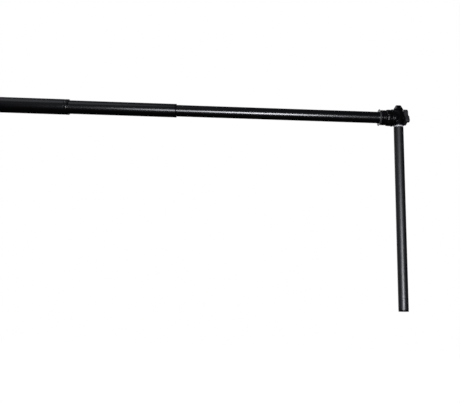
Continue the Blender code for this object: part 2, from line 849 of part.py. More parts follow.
def build_lock(stage, tube_od, next_od, tube_end, parts, tools, axis):
    """Make what a tube's inner end carries: glide, rivet, plug with its cam, shoe, washer, screw."""
    tube_r = tube_od / 2
    bore = tube_r - TUBE_WALL
    next_bore = next_od / 2 - TUBE_WALL
    glide_high = tube_end - GLIDE_SETBACK
    glide = turned(
        stage + "_glide",
        ring_profile(next_bore - GAP, tube_r + GAP, glide_high - GLIDE_LENGTH, glide_high),
        parts,
        closed=True,
        parent=axis,
    )
    slit = box(
        stage + "_glide_slit",
        (next_od, GLIDE_SLIT, 2 * GLIDE_LENGTH),
        (next_od / 2, 0.0, glide_high),
        tools,
        parent=axis,
    )
    cut(glide, slit)
    plug_r = bore - GAP
    cam_r = plug_r - CAM_INSET
    flange_low = tube_end + GAP
    cam_low = flange_low + PLUG_FLANGE
    cam_high = cam_low + CAM_LENGTH
    plug = turned(
        stage + "_lock_plug",
        [
            (0.0, cam_low),
            (tube_r, cam_low),
            (tube_r, flange_low),
            (plug_r, flange_low),
            (plug_r, tube_end - PLUG_DEPTH),
            (0.0, tube_end - PLUG_DEPTH),
        ],
        parts,
        sides=SMALL_SIDES,
        parent=axis,
    )
    cam = turned(
        stage + "_cam",
        rod_profile(cam_r, cam_low - PLUG_FLANGE / 2, cam_high),
        tools,
        sides=SMALL_SIDES,
        parent=plug,
        location=(0.0, CAM_OFFSET, 0.0),
        turn=HALF_FACET,
    )
    join(plug, cam)
    washer_low = cam_high + GAP
    washer_high = washer_low + LOCK_WASHER
    washer = turned(
        stage + "_lock_washer",
        ring_profile(cam_r + LOCK_WASHER_RISE, LOCK_SCREW_OD / 2 + GAP, washer_low, washer_high),
        parts,
        closed=True,
        sides=SMALL_SIDES,
        parent=axis,
    )
    head_r = LOCK_SCREW_HEAD_OD / 2
    head_low = washer_high + GAP
    screw_low = cam_high - LOCK_SCREW_DEPTH
    screw = turned(
        stage + "_lock_screw",
        [
            (0.0, head_low + LOCK_SCREW_HEAD),
            (head_r, head_low + LOCK_SCREW_HEAD),
            (head_r, head_low),
            (LOCK_SCREW_OD / 2, head_low),
            (LOCK_SCREW_OD / 2, screw_low + GAP),
            (0.0, screw_low + GAP),
        ],
        parts,
        sides=PIN_SIDES,
        parent=axis,
    )
    screw_hole = turned(
        stage + "_lock_screw_hole",
        rod_profile(LOCK_SCREW_OD / 2 + GAP, screw_low, cam_high + CUT_OVERRUN),
        tools,
        sides=PIN_SIDES,
        parent=axis,
    )
    cut(plug, screw_hole)
    shoe_bore = cam_r + CAM_OFFSET + GAP
    shoe = build_shoe(stage, next_bore - GAP, shoe_bore, cam_low, cam_high, parts, tools, axis)
    rivet, rivet_hole = build_rivet(stage, tube_r, tube_end, parts, tools, axis)
    cut(plug, rivet_hole)
    return glide, plug, washer, screw, shoe, rivet, rivet_hole


def build_shoe(stage, outer, inner, cam_low, cam_high, parts, tools, axis):
    """Make the split shoe round the cam, with grooves across its friction face."""
    low = cam_low + GAP
    high = cam_high - GAP
    pitch = (high - low) / (SHOE_GROOVES + 1)
    profile = [(outer, high)]
    for index in range(SHOE_GROOVES):
        middle = high - pitch * (index + 1)
        profile.append((outer, middle + SHOE_GROOVE_WIDTH / 2))
        profile.append((outer - SHOE_GROOVE_DEPTH, middle))
        profile.append((outer, middle - SHOE_GROOVE_WIDTH / 2))
    profile.append((outer, low))
    profile.append((inner, low))
    profile.append((inner, high))
    shoe = turned(stage + "_lock_shoe", profile, parts, closed=True, sides=SMALL_SIDES, parent=axis)
    slot = box(
        stage + "_shoe_slot",
        (SHOE_SLOT, 2 * outer, 2 * (cam_high - cam_low)),
        (0.0, -outer, (cam_low + cam_high) / 2),
        tools,
        parent=axis,
    )
    cut(shoe, slot)
    return shoe


def build_rivet(stage, tube_r, tube_end, parts, tools, axis):
    """Make the rivet that goes through a tube and its plug, and the tool that drills its hole."""
    seat = tube_r + GAP
    shank_r = RIVET_OD / 2
    across = Matrix.Rotation(math.pi / 2, 4, "X")
    place = {"parent": axis, "location": (0.0, 0.0, tube_end - RIVET_SETBACK)}
    rivet = rods(stage + "_plug_rivet", shank_r, -seat, seat, [across], parts, **place)
    both_ends = [across, Matrix.Rotation(-math.pi / 2, 4, "X")]
    heads = rods(
        stage + "_rivet_heads",
        RIVET_HEAD_OD / 2,
        seat - RIVET_HEAD / 2,
        seat + RIVET_HEAD,
        both_ends,
        tools,
        **place,
    )
    join(rivet, heads)
    hole = rods(stage + "_rivet_hole", shank_r + GAP, -2 * tube_r, 2 * tube_r, [across], tools, **place)
    return rivet, hole


def build_bar(parts, tools, finishes):
    """Make the three tubes, their bushes and the two twist locks."""
    axis = add_empty("bar_axis", parts, (0.0, 0.0, BAR_HEIGHT), ALONG_BAR)
    inner = turned(
        "inner_tube",
        ring_profile(INNER_R, INNER_R - TUBE_WALL, INNER_START, INNER_END),
        parts,
        closed=True,
        parent=axis,
    )
    middle = turned(
        "middle_tube",
        ring_profile(MIDDLE_R, MIDDLE_R - TUBE_WALL, MIDDLE_START, MIDDLE_END),
        parts,
        closed=True,
        parent=axis,
    )
    crimp_low = OUTER_START + CRIMP_SETBACK
    crimp_high = crimp_low + CRIMP_WIDTH
    outer = turned(
        "outer_tube",
        [
            (OUTER_R, OUTER_END),
            (OUTER_R, crimp_high),
            (OUTER_R - CRIMP_DEPTH, crimp_high - CRIMP_DEPTH),
            (OUTER_R - CRIMP_DEPTH, crimp_low + CRIMP_DEPTH),
            (OUTER_R, crimp_low),
            (OUTER_R, OUTER_START),
            (OUTER_R - TUBE_WALL, OUTER_START),
            (OUTER_R - TUBE_WALL, OUTER_END),
        ],
        parts,
        closed=True,
        parent=axis,
    )
    paint(finishes.tube, inner, middle, outer)
    middle_bush = build_bush("middle_mouth_bush", MIDDLE_OD, INNER_OD, MIDDLE_LIP, parts, axis)
    outer_bush = build_bush("outer_mouth_bush", OUTER_OD, MIDDLE_OD, OUTER_LIP, parts, axis)
    paint(finishes.moulding, middle_bush, outer_bush)
    stages = (
        ("inner", inner, INNER_OD, MIDDLE_OD, INNER_END),
        ("middle", middle, MIDDLE_OD, OUTER_OD, MIDDLE_END),
    )
    for stage, tube, tube_od, next_od, tube_end in stages:
        pieces = build_lock(stage, tube_od, next_od, tube_end, parts, tools, axis)
        glide, plug, washer, screw, shoe, rivet, rivet_hole = pieces
        cut(tube, rivet_hole)
        paint(finishes.nylon, glide, shoe)
        paint(finishes.moulding, plug)
        paint(finishes.steel, washer, screw, rivet)


def settle(parts):
    """Turn each piece's modifiers into its mesh, and shade its round faces smooth."""
    bpy.context.view_layer.update()
    graph = bpy.context.evaluated_depsgraph_get()
    pieces = [obj for obj in parts.objects if obj.type == "MESH"]
    meshes = [bpy.data.meshes.new_from_object(obj.evaluated_get(graph)) for obj in pieces]
    for obj, mesh in zip(pieces, meshes):
        obj.modifiers.clear()
        obj.data = mesh
        mesh.name = obj.name
        mesh.shade_smooth()
        mesh.set_sharp_from_angle(angle=math.radians(30))


def main():
    """Build the whole object."""
    clear_scene()
    parts = new_collection("telescoping_crossbar")
    tools = new_collection("cutters")
    finishes = Finishes()
    build_riser(parts, tools, finishes)
    build_bar(parts, tools, finishes)
    build_fitting("near", INNER_R, (0.0, 0.0, BAR_HEIGHT), 0.0, parts, tools, finishes)
    build_fitting("far", OUTER_R, (-FAR_REACH, 0.0, BAR_HEIGHT), 180.0, parts, tools, finishes)
    settle(parts)
    print(f"far fitting at {-FAR_REACH:.4f}, mouth ring's face at {-RING_FACE:.4f}")


main()
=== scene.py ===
"""Finishes, fine surfaces and studio for a telescoping background crossbar on its stand's post.

The bar's three tubes, its two clamp fittings and the post are remade with round edges, flutes and
lobes at full detail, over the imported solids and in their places. Everything else keeps its solid
and gets a finish. Units are metres, +Z is up the post and -X runs along the bar.
"""

import json
import logging
import math
from dataclasses import dataclass, replace
from enum import Enum
from typing import Callable, Optional, Sequence

import bmesh
import bpy
from mathutils import Euler, Matrix, Vector


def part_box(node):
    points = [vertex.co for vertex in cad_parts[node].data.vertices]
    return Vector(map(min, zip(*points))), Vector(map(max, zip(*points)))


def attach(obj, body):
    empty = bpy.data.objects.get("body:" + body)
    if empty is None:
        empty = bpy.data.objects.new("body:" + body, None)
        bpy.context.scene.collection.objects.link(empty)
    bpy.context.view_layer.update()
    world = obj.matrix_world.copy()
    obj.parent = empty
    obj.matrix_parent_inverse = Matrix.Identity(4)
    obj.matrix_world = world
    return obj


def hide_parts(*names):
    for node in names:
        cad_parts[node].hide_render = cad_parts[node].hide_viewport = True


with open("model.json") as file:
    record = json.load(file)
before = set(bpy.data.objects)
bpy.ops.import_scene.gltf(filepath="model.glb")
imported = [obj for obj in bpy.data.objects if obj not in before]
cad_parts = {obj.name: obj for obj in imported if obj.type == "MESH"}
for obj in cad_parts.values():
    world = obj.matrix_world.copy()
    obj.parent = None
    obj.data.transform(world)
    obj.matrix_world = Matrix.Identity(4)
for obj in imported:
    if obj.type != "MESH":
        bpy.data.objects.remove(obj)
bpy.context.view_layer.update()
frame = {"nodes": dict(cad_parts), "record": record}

LOG = logging.getLogger("crossbar")

Profile = list[tuple[float, float]]
Colour = tuple[float, float, float]
Point = tuple[float, float, float]
Span = tuple[float, float]
Turning = tuple[int, float]
Ripple = Callable[[float, float, float], float]
Tree = bpy.types.NodeTree
Node = bpy.types.Node
Socket = bpy.types.NodeSocket
Object = bpy.types.Object

MM = 0.001
ON_AXIS = 0.001 * MM
HALF_TURN = math.pi
QUARTER_TURN = math.pi / 2
SMOOTH_LIMIT_DEG = 38.0
# A corner's curve takes this share of a side at most, and a run of more reaches than this is held
CORNER_SHARE = 0.45
LONG_RUN = 4


class Slot(Enum):
    """The record's material slots."""

    TUBE = "satin_black_tube"
    CASTING = "black_casting"
    MOULDING = "black_moulding"
    RING = "dark_polished_ring"
    STEEL = "bright_steel"
    BRASS = "brass"
    NYLON = "pale_nylon"


TURNED = (Slot.RING, Slot.STEEL, Slot.BRASS)


class Run(Enum):
    """The axis of the draw marks and turning marks: 0 along it and 1 across it."""

    BAR = (0.0, 1.0, 1.0)
    POST = (1.0, 1.0, 0.0)


class Side(Enum):
    """The bar's two end fittings."""

    NEAR = "near"
    FAR = "far"


class NodeBoard:
    """A node tree with short ways to add nodes and to join them."""

    COLUMNS = 8
    COLUMN_WIDTH = 180.0
    ROW_HEIGHT = 220.0
    # Where a Mix node has its two colours, and where it puts out the mixed one
    MIX_FIRST, MIX_SECOND, MIX_RESULT = 6, 7, 2

    def __init__(self, tree: Tree) -> None:
        """Keep the tree of a material, a group or the world that the nodes go into."""
        self.tree = tree
        self.count = 0

    def add(self, kind: str, **settings: object) -> Node:
        """Add a node and set its properties.

        Args:
            kind: the node's Blender type.
            settings: property values by name.

        Returns:
            The new node.
        """
        node = self.tree.nodes.new(kind)
        row, column = divmod(self.count, self.COLUMNS)
        node.location = (self.COLUMN_WIDTH * column, -self.ROW_HEIGHT * row)
        self.count += 1
        for name, value in settings.items():
            setattr(node, name, value)
        return node

    def feed(self, socket: Socket, source: object) -> None:
        """Link a socket to another, or give it a plain value.

        Args:
            socket: the input socket.
            source: an output socket, or the value itself.
        """
        if isinstance(source, Socket):
            self.tree.links.new(source, socket)
        else:
            socket.default_value = source

    def math(self, operation: str, first: object, second: object) -> Socket:
        """Work out one Math node, without clamping.

        Args:
            operation: the node's operation.
            first: its first value.
            second: its second value.

        Returns:
            The result's socket.
        """
        node = self.add("ShaderNodeMath", operation=operation)
        self.feed(node.inputs[0], first)
        self.feed(node.inputs[1], second)
        return node.outputs[0]

    def times(self, first: object, second: object) -> Socket:
        """Return the product of two values."""
        return self.math("MULTIPLY", first, second)

    def spread(self, value: object, low: object, high: object, to_low: object = 0.0,
               to_high: object = 1.0) -> Socket:
        """Map a value from one range to another, held at both ends.

        Args:
            value: the value to map.
            low: the value that gives to_low.
            high: the value that gives to_high.
            to_low: the result at low.
            to_high: the result at high.

        Returns:
            The mapped value's socket.
        """
        node = self.add("ShaderNodeMapRange", clamp=True)
        for socket, source in zip(node.inputs, (value, low, high, to_low, to_high)):
            self.feed(socket, source)
        return node.outputs[0]

    def blend(self, share: object, first: object, second: object) -> Socket:
        """Mix two colours.

        Args:
            share: how much of the second colour shows, 0 to 1.
            first: a colour or a colour socket.
            second: a colour or a colour socket.

        Returns:
            The mixed colour's socket.
        """
        node = self.add("ShaderNodeMix", data_type="RGBA")
        self.feed(node.inputs["Factor"], share)
        self.feed(node.inputs[self.MIX_FIRST], first)
        self.feed(node.inputs[self.MIX_SECOND], second)
        return node.outputs[self.MIX_RESULT]

    def noise(self, vector: object, scale: object, detail: float = 2.0) -> Socket:
        """Read a noise, whose value lies mostly between 0.2 and 0.8.

        Args:
            vector: where the noise is read.
            scale: cells per unit of the vector.
            detail: how many octaves are added up.

        Returns:
            The noise value's socket.
        """
        node = self.add("ShaderNodeTexNoise")
        self.feed(node.inputs["Vector"], vector)
        self.feed(node.inputs["Scale"], scale)
        node.inputs["Detail"].default_value = detail
        return node.outputs["Fac"]


class Effects:
    """The shader node groups that the finishes share, each built once.

    The spans are the noise values between which a mask rises from 0 to 1.
    """

    FINE_SHARE = 0.65
    COARSE_SCALE = 0.31
    TONE_SPAN = (0.35, 0.65)
    RARE_SCALE = 0.37
    RARE_SPAN = (0.66, 0.74)
    PATCH_CELLS = 18.0
    PATCH_SPAN = (0.48, 0.62)
    FLAT_POINTINESS = 0.5
    WEAR_RAMP = 0.05
    TORN_SPAN = (0.42, 0.6)
    CLUSTER_CELLS = 30.0
    CLUSTER_SPAN = (0.5, 0.68)

    def __init__(self) -> None:
        """Build the groups."""
        self.grain = self._grain()
        self.marks = self._marks()
        self.wear = self._wear()
        self.dust = self._dust()

    @staticmethod
    def _new(name: str, inputs: dict[str, Optional[float]],
             outputs: Sequence[str]) -> tuple[NodeBoard, Node, Node, Socket]:
        """Start a group with its sockets.

        Args:
            name: the group's name.
            inputs: the default of each input by its name, or None for a vector.
            outputs: the names of its value outputs.

        Returns:
            The group's board, its input node, its output node and the object coordinates.
        """
        group = bpy.data.node_groups.new(name, "ShaderNodeTree")
        for label, default in inputs.items():
            kind = "NodeSocketVector" if default is None else "NodeSocketFloat"
            socket = group.interface.new_socket(label, in_out="INPUT", socket_type=kind)
            if default is not None:
                socket.default_value = default
        for label in outputs:
            group.interface.new_socket(label, in_out="OUTPUT", socket_type="NodeSocketFloat")
        board = NodeBoard(group)
        given, out = board.add("NodeGroupInput"), board.add("NodeGroupOutput")
        return board, given, out, board.add("ShaderNodeTexCoord").outputs["Object"]

    def _grain(self) -> Tree:
        """Build the fine relief of a moulded, cast or painted skin.

        Returns:
            A group that puts out a height and a slow tone mask.
        """
        inputs = {"Cells Per Metre": 2500.0, "Tone Cells": 40.0}
        board, given, out, where = self._new("skin_grain", inputs, ("Height", "Tone"))
        fine = board.noise(where, given.outputs[0], detail=3.0)
        coarse_cells = board.times(given.outputs[0], self.COARSE_SCALE)
        coarse = board.noise(where, coarse_cells, detail=1.0)
        fine_part = board.times(fine, self.FINE_SHARE)
        coarse_part = board.times(coarse, 1.0 - self.FINE_SHARE)
        board.feed(out.inputs["Height"], board.math("ADD", fine_part, coarse_part))
        tone = board.noise(where, given.outputs[1], detail=3.0)
        board.feed(out.inputs["Tone"], board.spread(tone, *self.TONE_SPAN))
        return board.tree

    def _marks(self) -> Tree:
        """Build long draw marks along an axis, or turning marks round it.

        Returns:
            A group that puts out a height and a mask of the strongest marks.
        """
        inputs = {"Across": None, "Cells Per Metre": 3000.0}
        board, given, out, where = self._new("tool_marks", inputs, ("Height", "Scratch"))
        stretched = board.add("ShaderNodeVectorMath", operation="MULTIPLY")
        board.feed(stretched.inputs[0], where)
        board.feed(stretched.inputs[1], given.outputs[0])
        lines = stretched.outputs[0]
        board.feed(out.inputs["Height"], board.noise(lines, given.outputs[1]))
        rare_cells = board.times(given.outputs[1], self.RARE_SCALE)
        rare = board.noise(lines, rare_cells, detail=0.0)
        patches = board.spread(board.noise(where, self.PATCH_CELLS), *self.PATCH_SPAN)
        strongest = board.spread(rare, *self.RARE_SPAN)
        board.feed(out.inputs["Scratch"], board.times(strongest, patches))
        return board.tree

    def _wear(self) -> Tree:
        """Build the mask of edges where the finish is rubbed thin.

        Returns:
            A group that puts out the wear mask.
        """
        inputs = {"Reach": 0.04, "Breakup Cells": 900.0}
        board, given, out, where = self._new("rubbed_edges", inputs, ("Wear",))
        edge = board.add("ShaderNodeNewGeometry").outputs["Pointiness"]
        start = board.math("ADD", given.outputs[0], self.FLAT_POINTINESS)
        sharp = board.spread(edge, start, board.math("ADD", start, self.WEAR_RAMP))
        torn = board.spread(board.noise(where, given.outputs[1], detail=3.0), *self.TORN_SPAN)
        board.feed(out.inputs["Wear"], board.times(sharp, torn))
        return board.tree

    def _dust(self) -> Tree:
        """Build sparse specks of dust and lint.

        Returns:
            A group that puts out the dust mask.
        """
        inputs = {"Specks Per Metre": 420.0, "Speck Size": 0.07}
        board, given, out, where = self._new("dust_specks", inputs, ("Dust",))
        cells = board.add("ShaderNodeTexVoronoi")
        board.feed(cells.inputs["Vector"], where)
        board.feed(cells.inputs["Scale"], given.outputs[0])
        speck = board.spread(cells.outputs["Distance"], given.outputs[1], 0.0)
        clusters = board.spread(board.noise(where, self.CLUSTER_CELLS), *self.CLUSTER_SPAN)
        board.feed(out.inputs["Dust"], board.times(speck, clusters))
        return board.tree


@dataclass(frozen=True)
class Finish:
    """One finish: its colours, its gloss and how strong each shared effect is on it.

    Cells are counted per metre and depths are in metres. The stretch is a share.
    """

    slot: Slot
    colour: Colour
    tone_colour: Colour
    rough: float
    rough_spread: float
    metallic: float = 0.0
    specular: float = 0.5
    ior: float = 1.5
    grain_cells: float = 2500.0
    grain_depth: float = 0.00002
    tone_cells: float = 40.0
    mark_cells: float = 3000.0
    mark_depth: float = 0.0
    mark_stretch: float = 0.004
    scratch: float = 0.0
    wear: float = 0.0
    wear_reach: float = 0.02
    wear_colour: Colour = (0.16, 0.16, 0.165)
    dust: float = 0.0
    dust_colour: Colour = (0.42, 0.41, 0.39)
    dust_dulls: float = 0.4

    def material(self, effects: Effects, run: Run) -> bpy.types.Material:
        """Build the finish as a material.

        Args:
            effects: the shared node groups.
            run: the way that its tool marks run.

        Returns:
            The material.
        """
        material = bpy.data.materials.new(f"{self.slot.value}_{run.name.lower()}")
        material.use_nodes = True
        board = NodeBoard(material.node_tree)
        shader = material.node_tree.nodes["Principled BSDF"]
        grain = self._group(board, effects.grain, (self.grain_cells, self.tone_cells))
        along = 1.0 if self.slot in TURNED else 0.0
        across = tuple(1.0 if part != along else self.mark_stretch for part in run.value)
        marks = self._group(board, effects.marks, (across, self.mark_cells))
        wear = self._group(board, effects.wear, (self.wear_reach,))
        dust = self._group(board, effects.dust, ())
        worn = board.times(wear.outputs["Wear"], self.wear)
        scratched = board.times(marks.outputs["Scratch"], self.scratch)
        bare = board.math("MAXIMUM", worn, scratched)
        dusty = board.times(dust.outputs["Dust"], self.dust)
        tone = grain.outputs["Tone"]
        skin = board.blend(tone, (*self.colour, 1.0), (*self.tone_colour, 1.0))
        rubbed = board.blend(bare, skin, (*self.wear_colour, 1.0))
        shown = board.blend(dusty, rubbed, (*self.dust_colour, 1.0))
        board.feed(shader.inputs["Base Color"], shown)
        low, high = self.rough - self.rough_spread, self.rough + self.rough_spread
        gloss = board.spread(tone, 0.0, 1.0, low, high)
        duller = board.math("ADD", gloss, board.times(dusty, self.dust_dulls))
        board.feed(shader.inputs["Roughness"], duller)
        shader.inputs["Metallic"].default_value = self.metallic
        shader.inputs["Specular IOR Level"].default_value = self.specular
        shader.inputs["IOR"].default_value = self.ior
        skin_bump = self._bump(board, grain.outputs["Height"], self.grain_depth, None)
        last_bump = self._bump(board, marks.outputs["Height"], self.mark_depth, skin_bump)
        board.feed(shader.inputs["Normal"], last_bump)
        return material

    @staticmethod
    def _group(board: NodeBoard, group: Tree, values: Sequence[object]) -> Node:
        """Place a shared group in a material.

        Args:
            board: the material's board.
            group: the shared group.
            values: this finish's values for its inputs, in order.

        Returns:
            The group's node.
        """
        node = board.add("ShaderNodeGroup", node_tree=group)
        for socket, value in zip(node.inputs, values):
            socket.default_value = value
        return node

    @staticmethod
    def _bump(board: NodeBoard, height: Socket, depth: float, below: Optional[Socket]) -> Socket:
        """Raise a height over the relief below it.

        Args:
            board: the material's board.
            height: the height, 0 to 1.
            depth: how deep the relief is, in metres.
            below: the normal of the relief below, if there is one.

        Returns:
            The normal's socket.
        """
        bump = board.add("ShaderNodeBump")
        bump.inputs["Strength"].default_value = 1.0
        bump.inputs["Distance"].default_value = depth
        board.feed(bump.inputs["Height"], height)
        if below is not None:
            board.feed(bump.inputs["Normal"], below)
        return bump.outputs["Normal"]


BRASS = Finish(
    slot=Slot.BRASS,
    colour=(0.60, 0.42, 0.17),
    tone_colour=(0.70, 0.50, 0.23),
    rough=0.28,
    rough_spread=0.05,
    metallic=1.0,
    mark_cells=4200.0,
    mark_depth=0.000008,
    grain_depth=0.000002,
    wear_colour=(0.80, 0.62, 0.32),
    wear=0.3,
    dust=0.15,
)
FINISHES = (
    Finish(
        slot=Slot.TUBE,
        colour=(0.0012, 0.0013, 0.0016),
        tone_colour=(0.0018, 0.0019, 0.0023),
        rough=0.24,
        rough_spread=0.004,
        specular=0.9,
        grain_cells=1600.0,
        grain_depth=0.000002,
        mark_cells=2600.0,
        mark_depth=0.000001,
        scratch=0.03,
        wear=0.30,
        dust=0.06,
    ),
    Finish(
        slot=Slot.CASTING,
        colour=(0.0013, 0.0013, 0.0016),
        tone_colour=(0.0022, 0.0022, 0.0026),
        rough=0.285,
        rough_spread=0.02,
        specular=0.33,
        grain_cells=1500.0,
        grain_depth=0.000030,
        wear=0.22,
        wear_reach=0.045,
        dust=0.20,
    ),
    Finish(
        slot=Slot.MOULDING,
        colour=(0.0015, 0.0015, 0.0018),
        tone_colour=(0.0025, 0.0025, 0.0029),
        rough=0.25,
        rough_spread=0.02,
        specular=0.30,
        grain_cells=3600.0,
        grain_depth=0.000014,
        wear=0.25,
        wear_reach=0.03,
        wear_colour=(0.07, 0.07, 0.072),
        dust=0.20,
    ),
    Finish(
        slot=Slot.RING,
        colour=(0.055, 0.055, 0.058),
        tone_colour=(0.075, 0.075, 0.080),
        rough=0.30,
        rough_spread=0.02,
        specular=0.6,
        mark_cells=5200.0,
        mark_depth=0.000006,
        grain_depth=0.000003,
        wear=0.5,
        wear_colour=(0.38, 0.38, 0.39),
        dust=0.2,
    ),
    BRASS,
    replace(
        BRASS,
        slot=Slot.STEEL,
        colour=(0.78, 0.78, 0.79),
        tone_colour=(0.86, 0.86, 0.87),
        rough=0.52,
        wear_colour=(0.78, 0.78, 0.79),
    ),
    Finish(
        slot=Slot.NYLON,
        colour=(0.60, 0.58, 0.52),
        tone_colour=(0.68, 0.66, 0.60),
        rough=0.46,
        rough_spread=0.05,
        grain_cells=2800.0,
        grain_depth=0.000012,
        wear_colour=(0.74, 0.73, 0.69),
        wear=0.2,
        dust=0.3,
    ),
)

# What one piece's finish has different from the rest of its slot
KNOB_WAY_WITH_PAINTED_LIGHT = {
    "rough": 0.46,
    # The knob's colours are painted light: a lighter grey copy of the black moulding, standing in
    # for the highlights that its lobes catch
    "colour": (0.030, 0.030, 0.033),
    "tone_colour": (0.048, 0.048, 0.052),
}
OWN_WAYS = {
    "riser_tube": {"rough": 0.42, "specular": 1.0, "ior": 1.66},
    "stand_spigot": {"metallic": 0.3, "specular": 0.8},
    "near_clamp_knob": KNOB_WAY_WITH_PAINTED_LIGHT,
    "far_clamp_knob": KNOB_WAY_WITH_PAINTED_LIGHT,
}


class Workshop:
    """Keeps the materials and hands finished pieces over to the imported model's bodies."""

    def __init__(self) -> None:
        """Look up which body carries each node, and build the shared effects."""
        record = frame["record"]
        self.effects = Effects()
        self.finishes = {finish.slot: finish for finish in FINISHES}
        self.made: dict[tuple[Slot, Run, str], bpy.types.Material] = {}
        self.body_of: dict[str, str] = {}
        for body, nodes in record["behaviour"]["bodies"].items():
            for node in nodes:
                self.body_of[node] = body
        self.slot_of = {row["node"]: Slot(row["material_slot"]) for row in record["subparts"]}

    def material(self, node: str, run: Run) -> bpy.types.Material:
        """Return a node's finish with its marks in one direction, built when first asked for.

        Args:
            node: the node whose slot, or own way, the finish is.
            run: the way that its tool marks run.

        Returns:
            The material.
        """
        slot = self.slot_of[node]
        own = OWN_WAYS.get(node, {})
        key = (slot, run, node if own else "")
        if key not in self.made:
            self.made[key] = replace(self.finishes[slot], **own).material(self.effects, run)
        return self.made[key]

    def hand_over(self, piece: Object, node: str, run: Run) -> None:
        """Let a piece stand for a node: same place, same body, same slot.

        Args:
            piece: the finished mesh.
            node: the node that it stands for.
            run: the way that its tool marks run.
        """
        piece.data.materials.clear()
        piece.data.materials.append(self.material(node, run))
        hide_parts(node)
        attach(piece, self.body_of[node])
        LOG.info("%s stands for %s, %d faces", piece.name, node, len(piece.data.polygons))

    def dress(self, node: str, run: Run) -> None:
        """Give a node that keeps its own solid its finish.

        Args:
            node: the node.
            run: the way that its tool marks run.
        """
        solid = frame["nodes"][node]
        solid.data.materials.clear()
        solid.data.materials.append(self.material(node, run))
        LOG.info("%s keeps its solid", node)


def rod(radius: float, high: float, low: float) -> Profile:
    """Return the profile of a plain rod between two heights."""
    return [(0.0, high), (radius, high), (radius, low), (0.0, low)]


def crowned(start: float, end: float, spans: int) -> Profile:
    """Divide a run that is highest in its middle.

    Args:
        start: where the run starts.
        end: where it ends.
        spans: how many parts it gets.

    Returns:
        Places along the run, each with its fall: 0 in the middle and 1 at both ends.
    """
    steps: Profile = []
    for step in range(spans + 1):
        share = 2.0 * step / spans - 1.0
        steps.append((start + (end - start) * step / spans, share * share))
    return steps


def softened(profile: Profile, radius: float, closed: bool = False, steps: int = 3) -> Profile:
    """Round a profile's corners.

    Args:
        profile: the corner points, as radius and height.
        radius: how far from each corner its curve starts, at most.
        closed: whether the profile runs on from its last point to its first.
        steps: the spans in each corner's curve.

    Returns:
        The profile with a short curve in place of each corner.
    """
    points = [Vector(point) for point in profile]
    count = len(points)
    result: Profile = []
    for index, corner in enumerate(points):
        if not closed and index in (0, count - 1):
            result.append(tuple(corner))
            continue
        before = points[index - 1]
        after = points[(index + 1) % count]
        reach_in = min(radius, CORNER_SHARE * (before - corner).length)
        reach_out = min(radius, CORNER_SHARE * (after - corner).length)
        start = corner + (before - corner).normalized() * reach_in
        end = corner + (after - corner).normalized() * reach_out
        for step in range(steps + 1):
            share = step / steps
            bend = start.lerp(corner, share).lerp(corner.lerp(end, share), share)
            result.append(tuple(bend))
    return result


def held(profile: Profile, reach: float) -> Profile:
    """Add points beside the corners of long runs, so that wear and shading stay near them.

    Args:
        profile: a closed profile, as radius and height.
        reach: how far from its ends a long run gets its points.

    Returns:
        The profile with the added points.
    """
    result: Profile = []
    for index, here in enumerate(profile):
        start = Vector(here)
        end = Vector(profile[(index + 1) % len(profile)])
        result.append(tuple(start))
        if (end - start).length > LONG_RUN * reach:
            way = (end - start).normalized() * reach
            result.append(tuple(start + way))
            result.append(tuple(end - way))
    return result


def shade(mesh: bpy.types.Mesh) -> None:
    """Shade a mesh smooth, with its real corners kept sharp."""
    mesh.shade_smooth()
    mesh.set_sharp_from_angle(angle=math.radians(SMOOTH_LIMIT_DEG))


def new_object(name: str, shape: bmesh.types.BMesh) -> Object:
    """Turn a bmesh into a shaded object in the scene.

    Args:
        name: the object's name.
        shape: the mesh, which is freed.

    Returns:
        The object.
    """
    bmesh.ops.recalc_face_normals(shape, faces=shape.faces)
    mesh = bpy.data.meshes.new(name)
    shape.to_mesh(mesh)
    shape.free()
    shade(mesh)
    piece = bpy.data.objects.new(name, mesh)
    bpy.context.scene.collection.objects.link(piece)
    return piece


def lathe(name: str, profile: Profile, place: Matrix, sides: int, closed: bool = False,
          ripple: Optional[Ripple] = None) -> Object:
    """Turn a profile about the place's Z axis.

    Args:
        name: the object's name.
        profile: points as radius and height; an open one ends on the axis.
        place: where the turned piece stands in the frame.
        sides: the steps round the axis.
        closed: whether the profile is a ring's.
        ripple: gives the radius at an angle, for a radius and a height on the profile.

    Returns:
        The turned object.
    """
    shape = bmesh.new()
    rings = []
    for radius, height in profile:
        if radius < ON_AXIS:
            rings.append([shape.verts.new(place @ Vector((0.0, 0.0, height)))])
            continue
        ring = []
        for index in range(sides):
            angle = 2 * math.pi * index / sides
            reach = ripple(angle, radius, height) if ripple else radius
            point = Vector((reach * math.cos(angle), reach * math.sin(angle), height))
            ring.append(shape.verts.new(place @ point))
        rings.append(ring)
    pairs = list(zip(rings, rings[1:]))
    if closed:
        pairs.append((rings[-1], rings[0]))
    for upper, lower in pairs:
        for index in range(sides):
            corners = _quad(upper, lower, index, (index + 1) % sides)
            if len(corners) > 2:
                shape.faces.new(corners)
    return new_object(name, shape)


def _quad(upper: list, lower: list, this: int, following: int) -> list:
    """Return the corners of one face between two rings, either of which may be one point.

    Args:
        upper: the first ring.
        lower: the second ring.
        this: the step where the face starts.
        following: the step where it ends.

    Returns:
        Four corners, three beside a single point, or none between two of them.
    """
    if len(upper) == 1 and len(lower) == 1:
        return []
    if len(upper) == 1:
        return [upper[0], lower[this], lower[following]]
    if len(lower) == 1:
        return [upper[this], lower[0], upper[following]]
    return [upper[this], lower[this], lower[following], upper[following]]


def cut_square(width: float, corner: float, height: float) -> list[Vector]:
    """Return the corners of a level square whose own corners are cut off.

    Args:
        width: the square's width across its sides.
        corner: how much of each side a cut takes.
        height: how high the square lies.

    Returns:
        Its eight corners, in order.
    """
    half = width / 2
    near = half - corner
    outline = [(half, -near), (half, near), (near, half), (-near, half)]
    outline += [(-x, -y) for x, y in outline]
    return [Vector((x, y, height)) for x, y in outline]


def octagon(width: float, height: float) -> list[Vector]:
    """Return the corners of a level octagon of a width across its flats."""
    return cut_square(width, width * (1.0 - math.sqrt(0.5)), height)


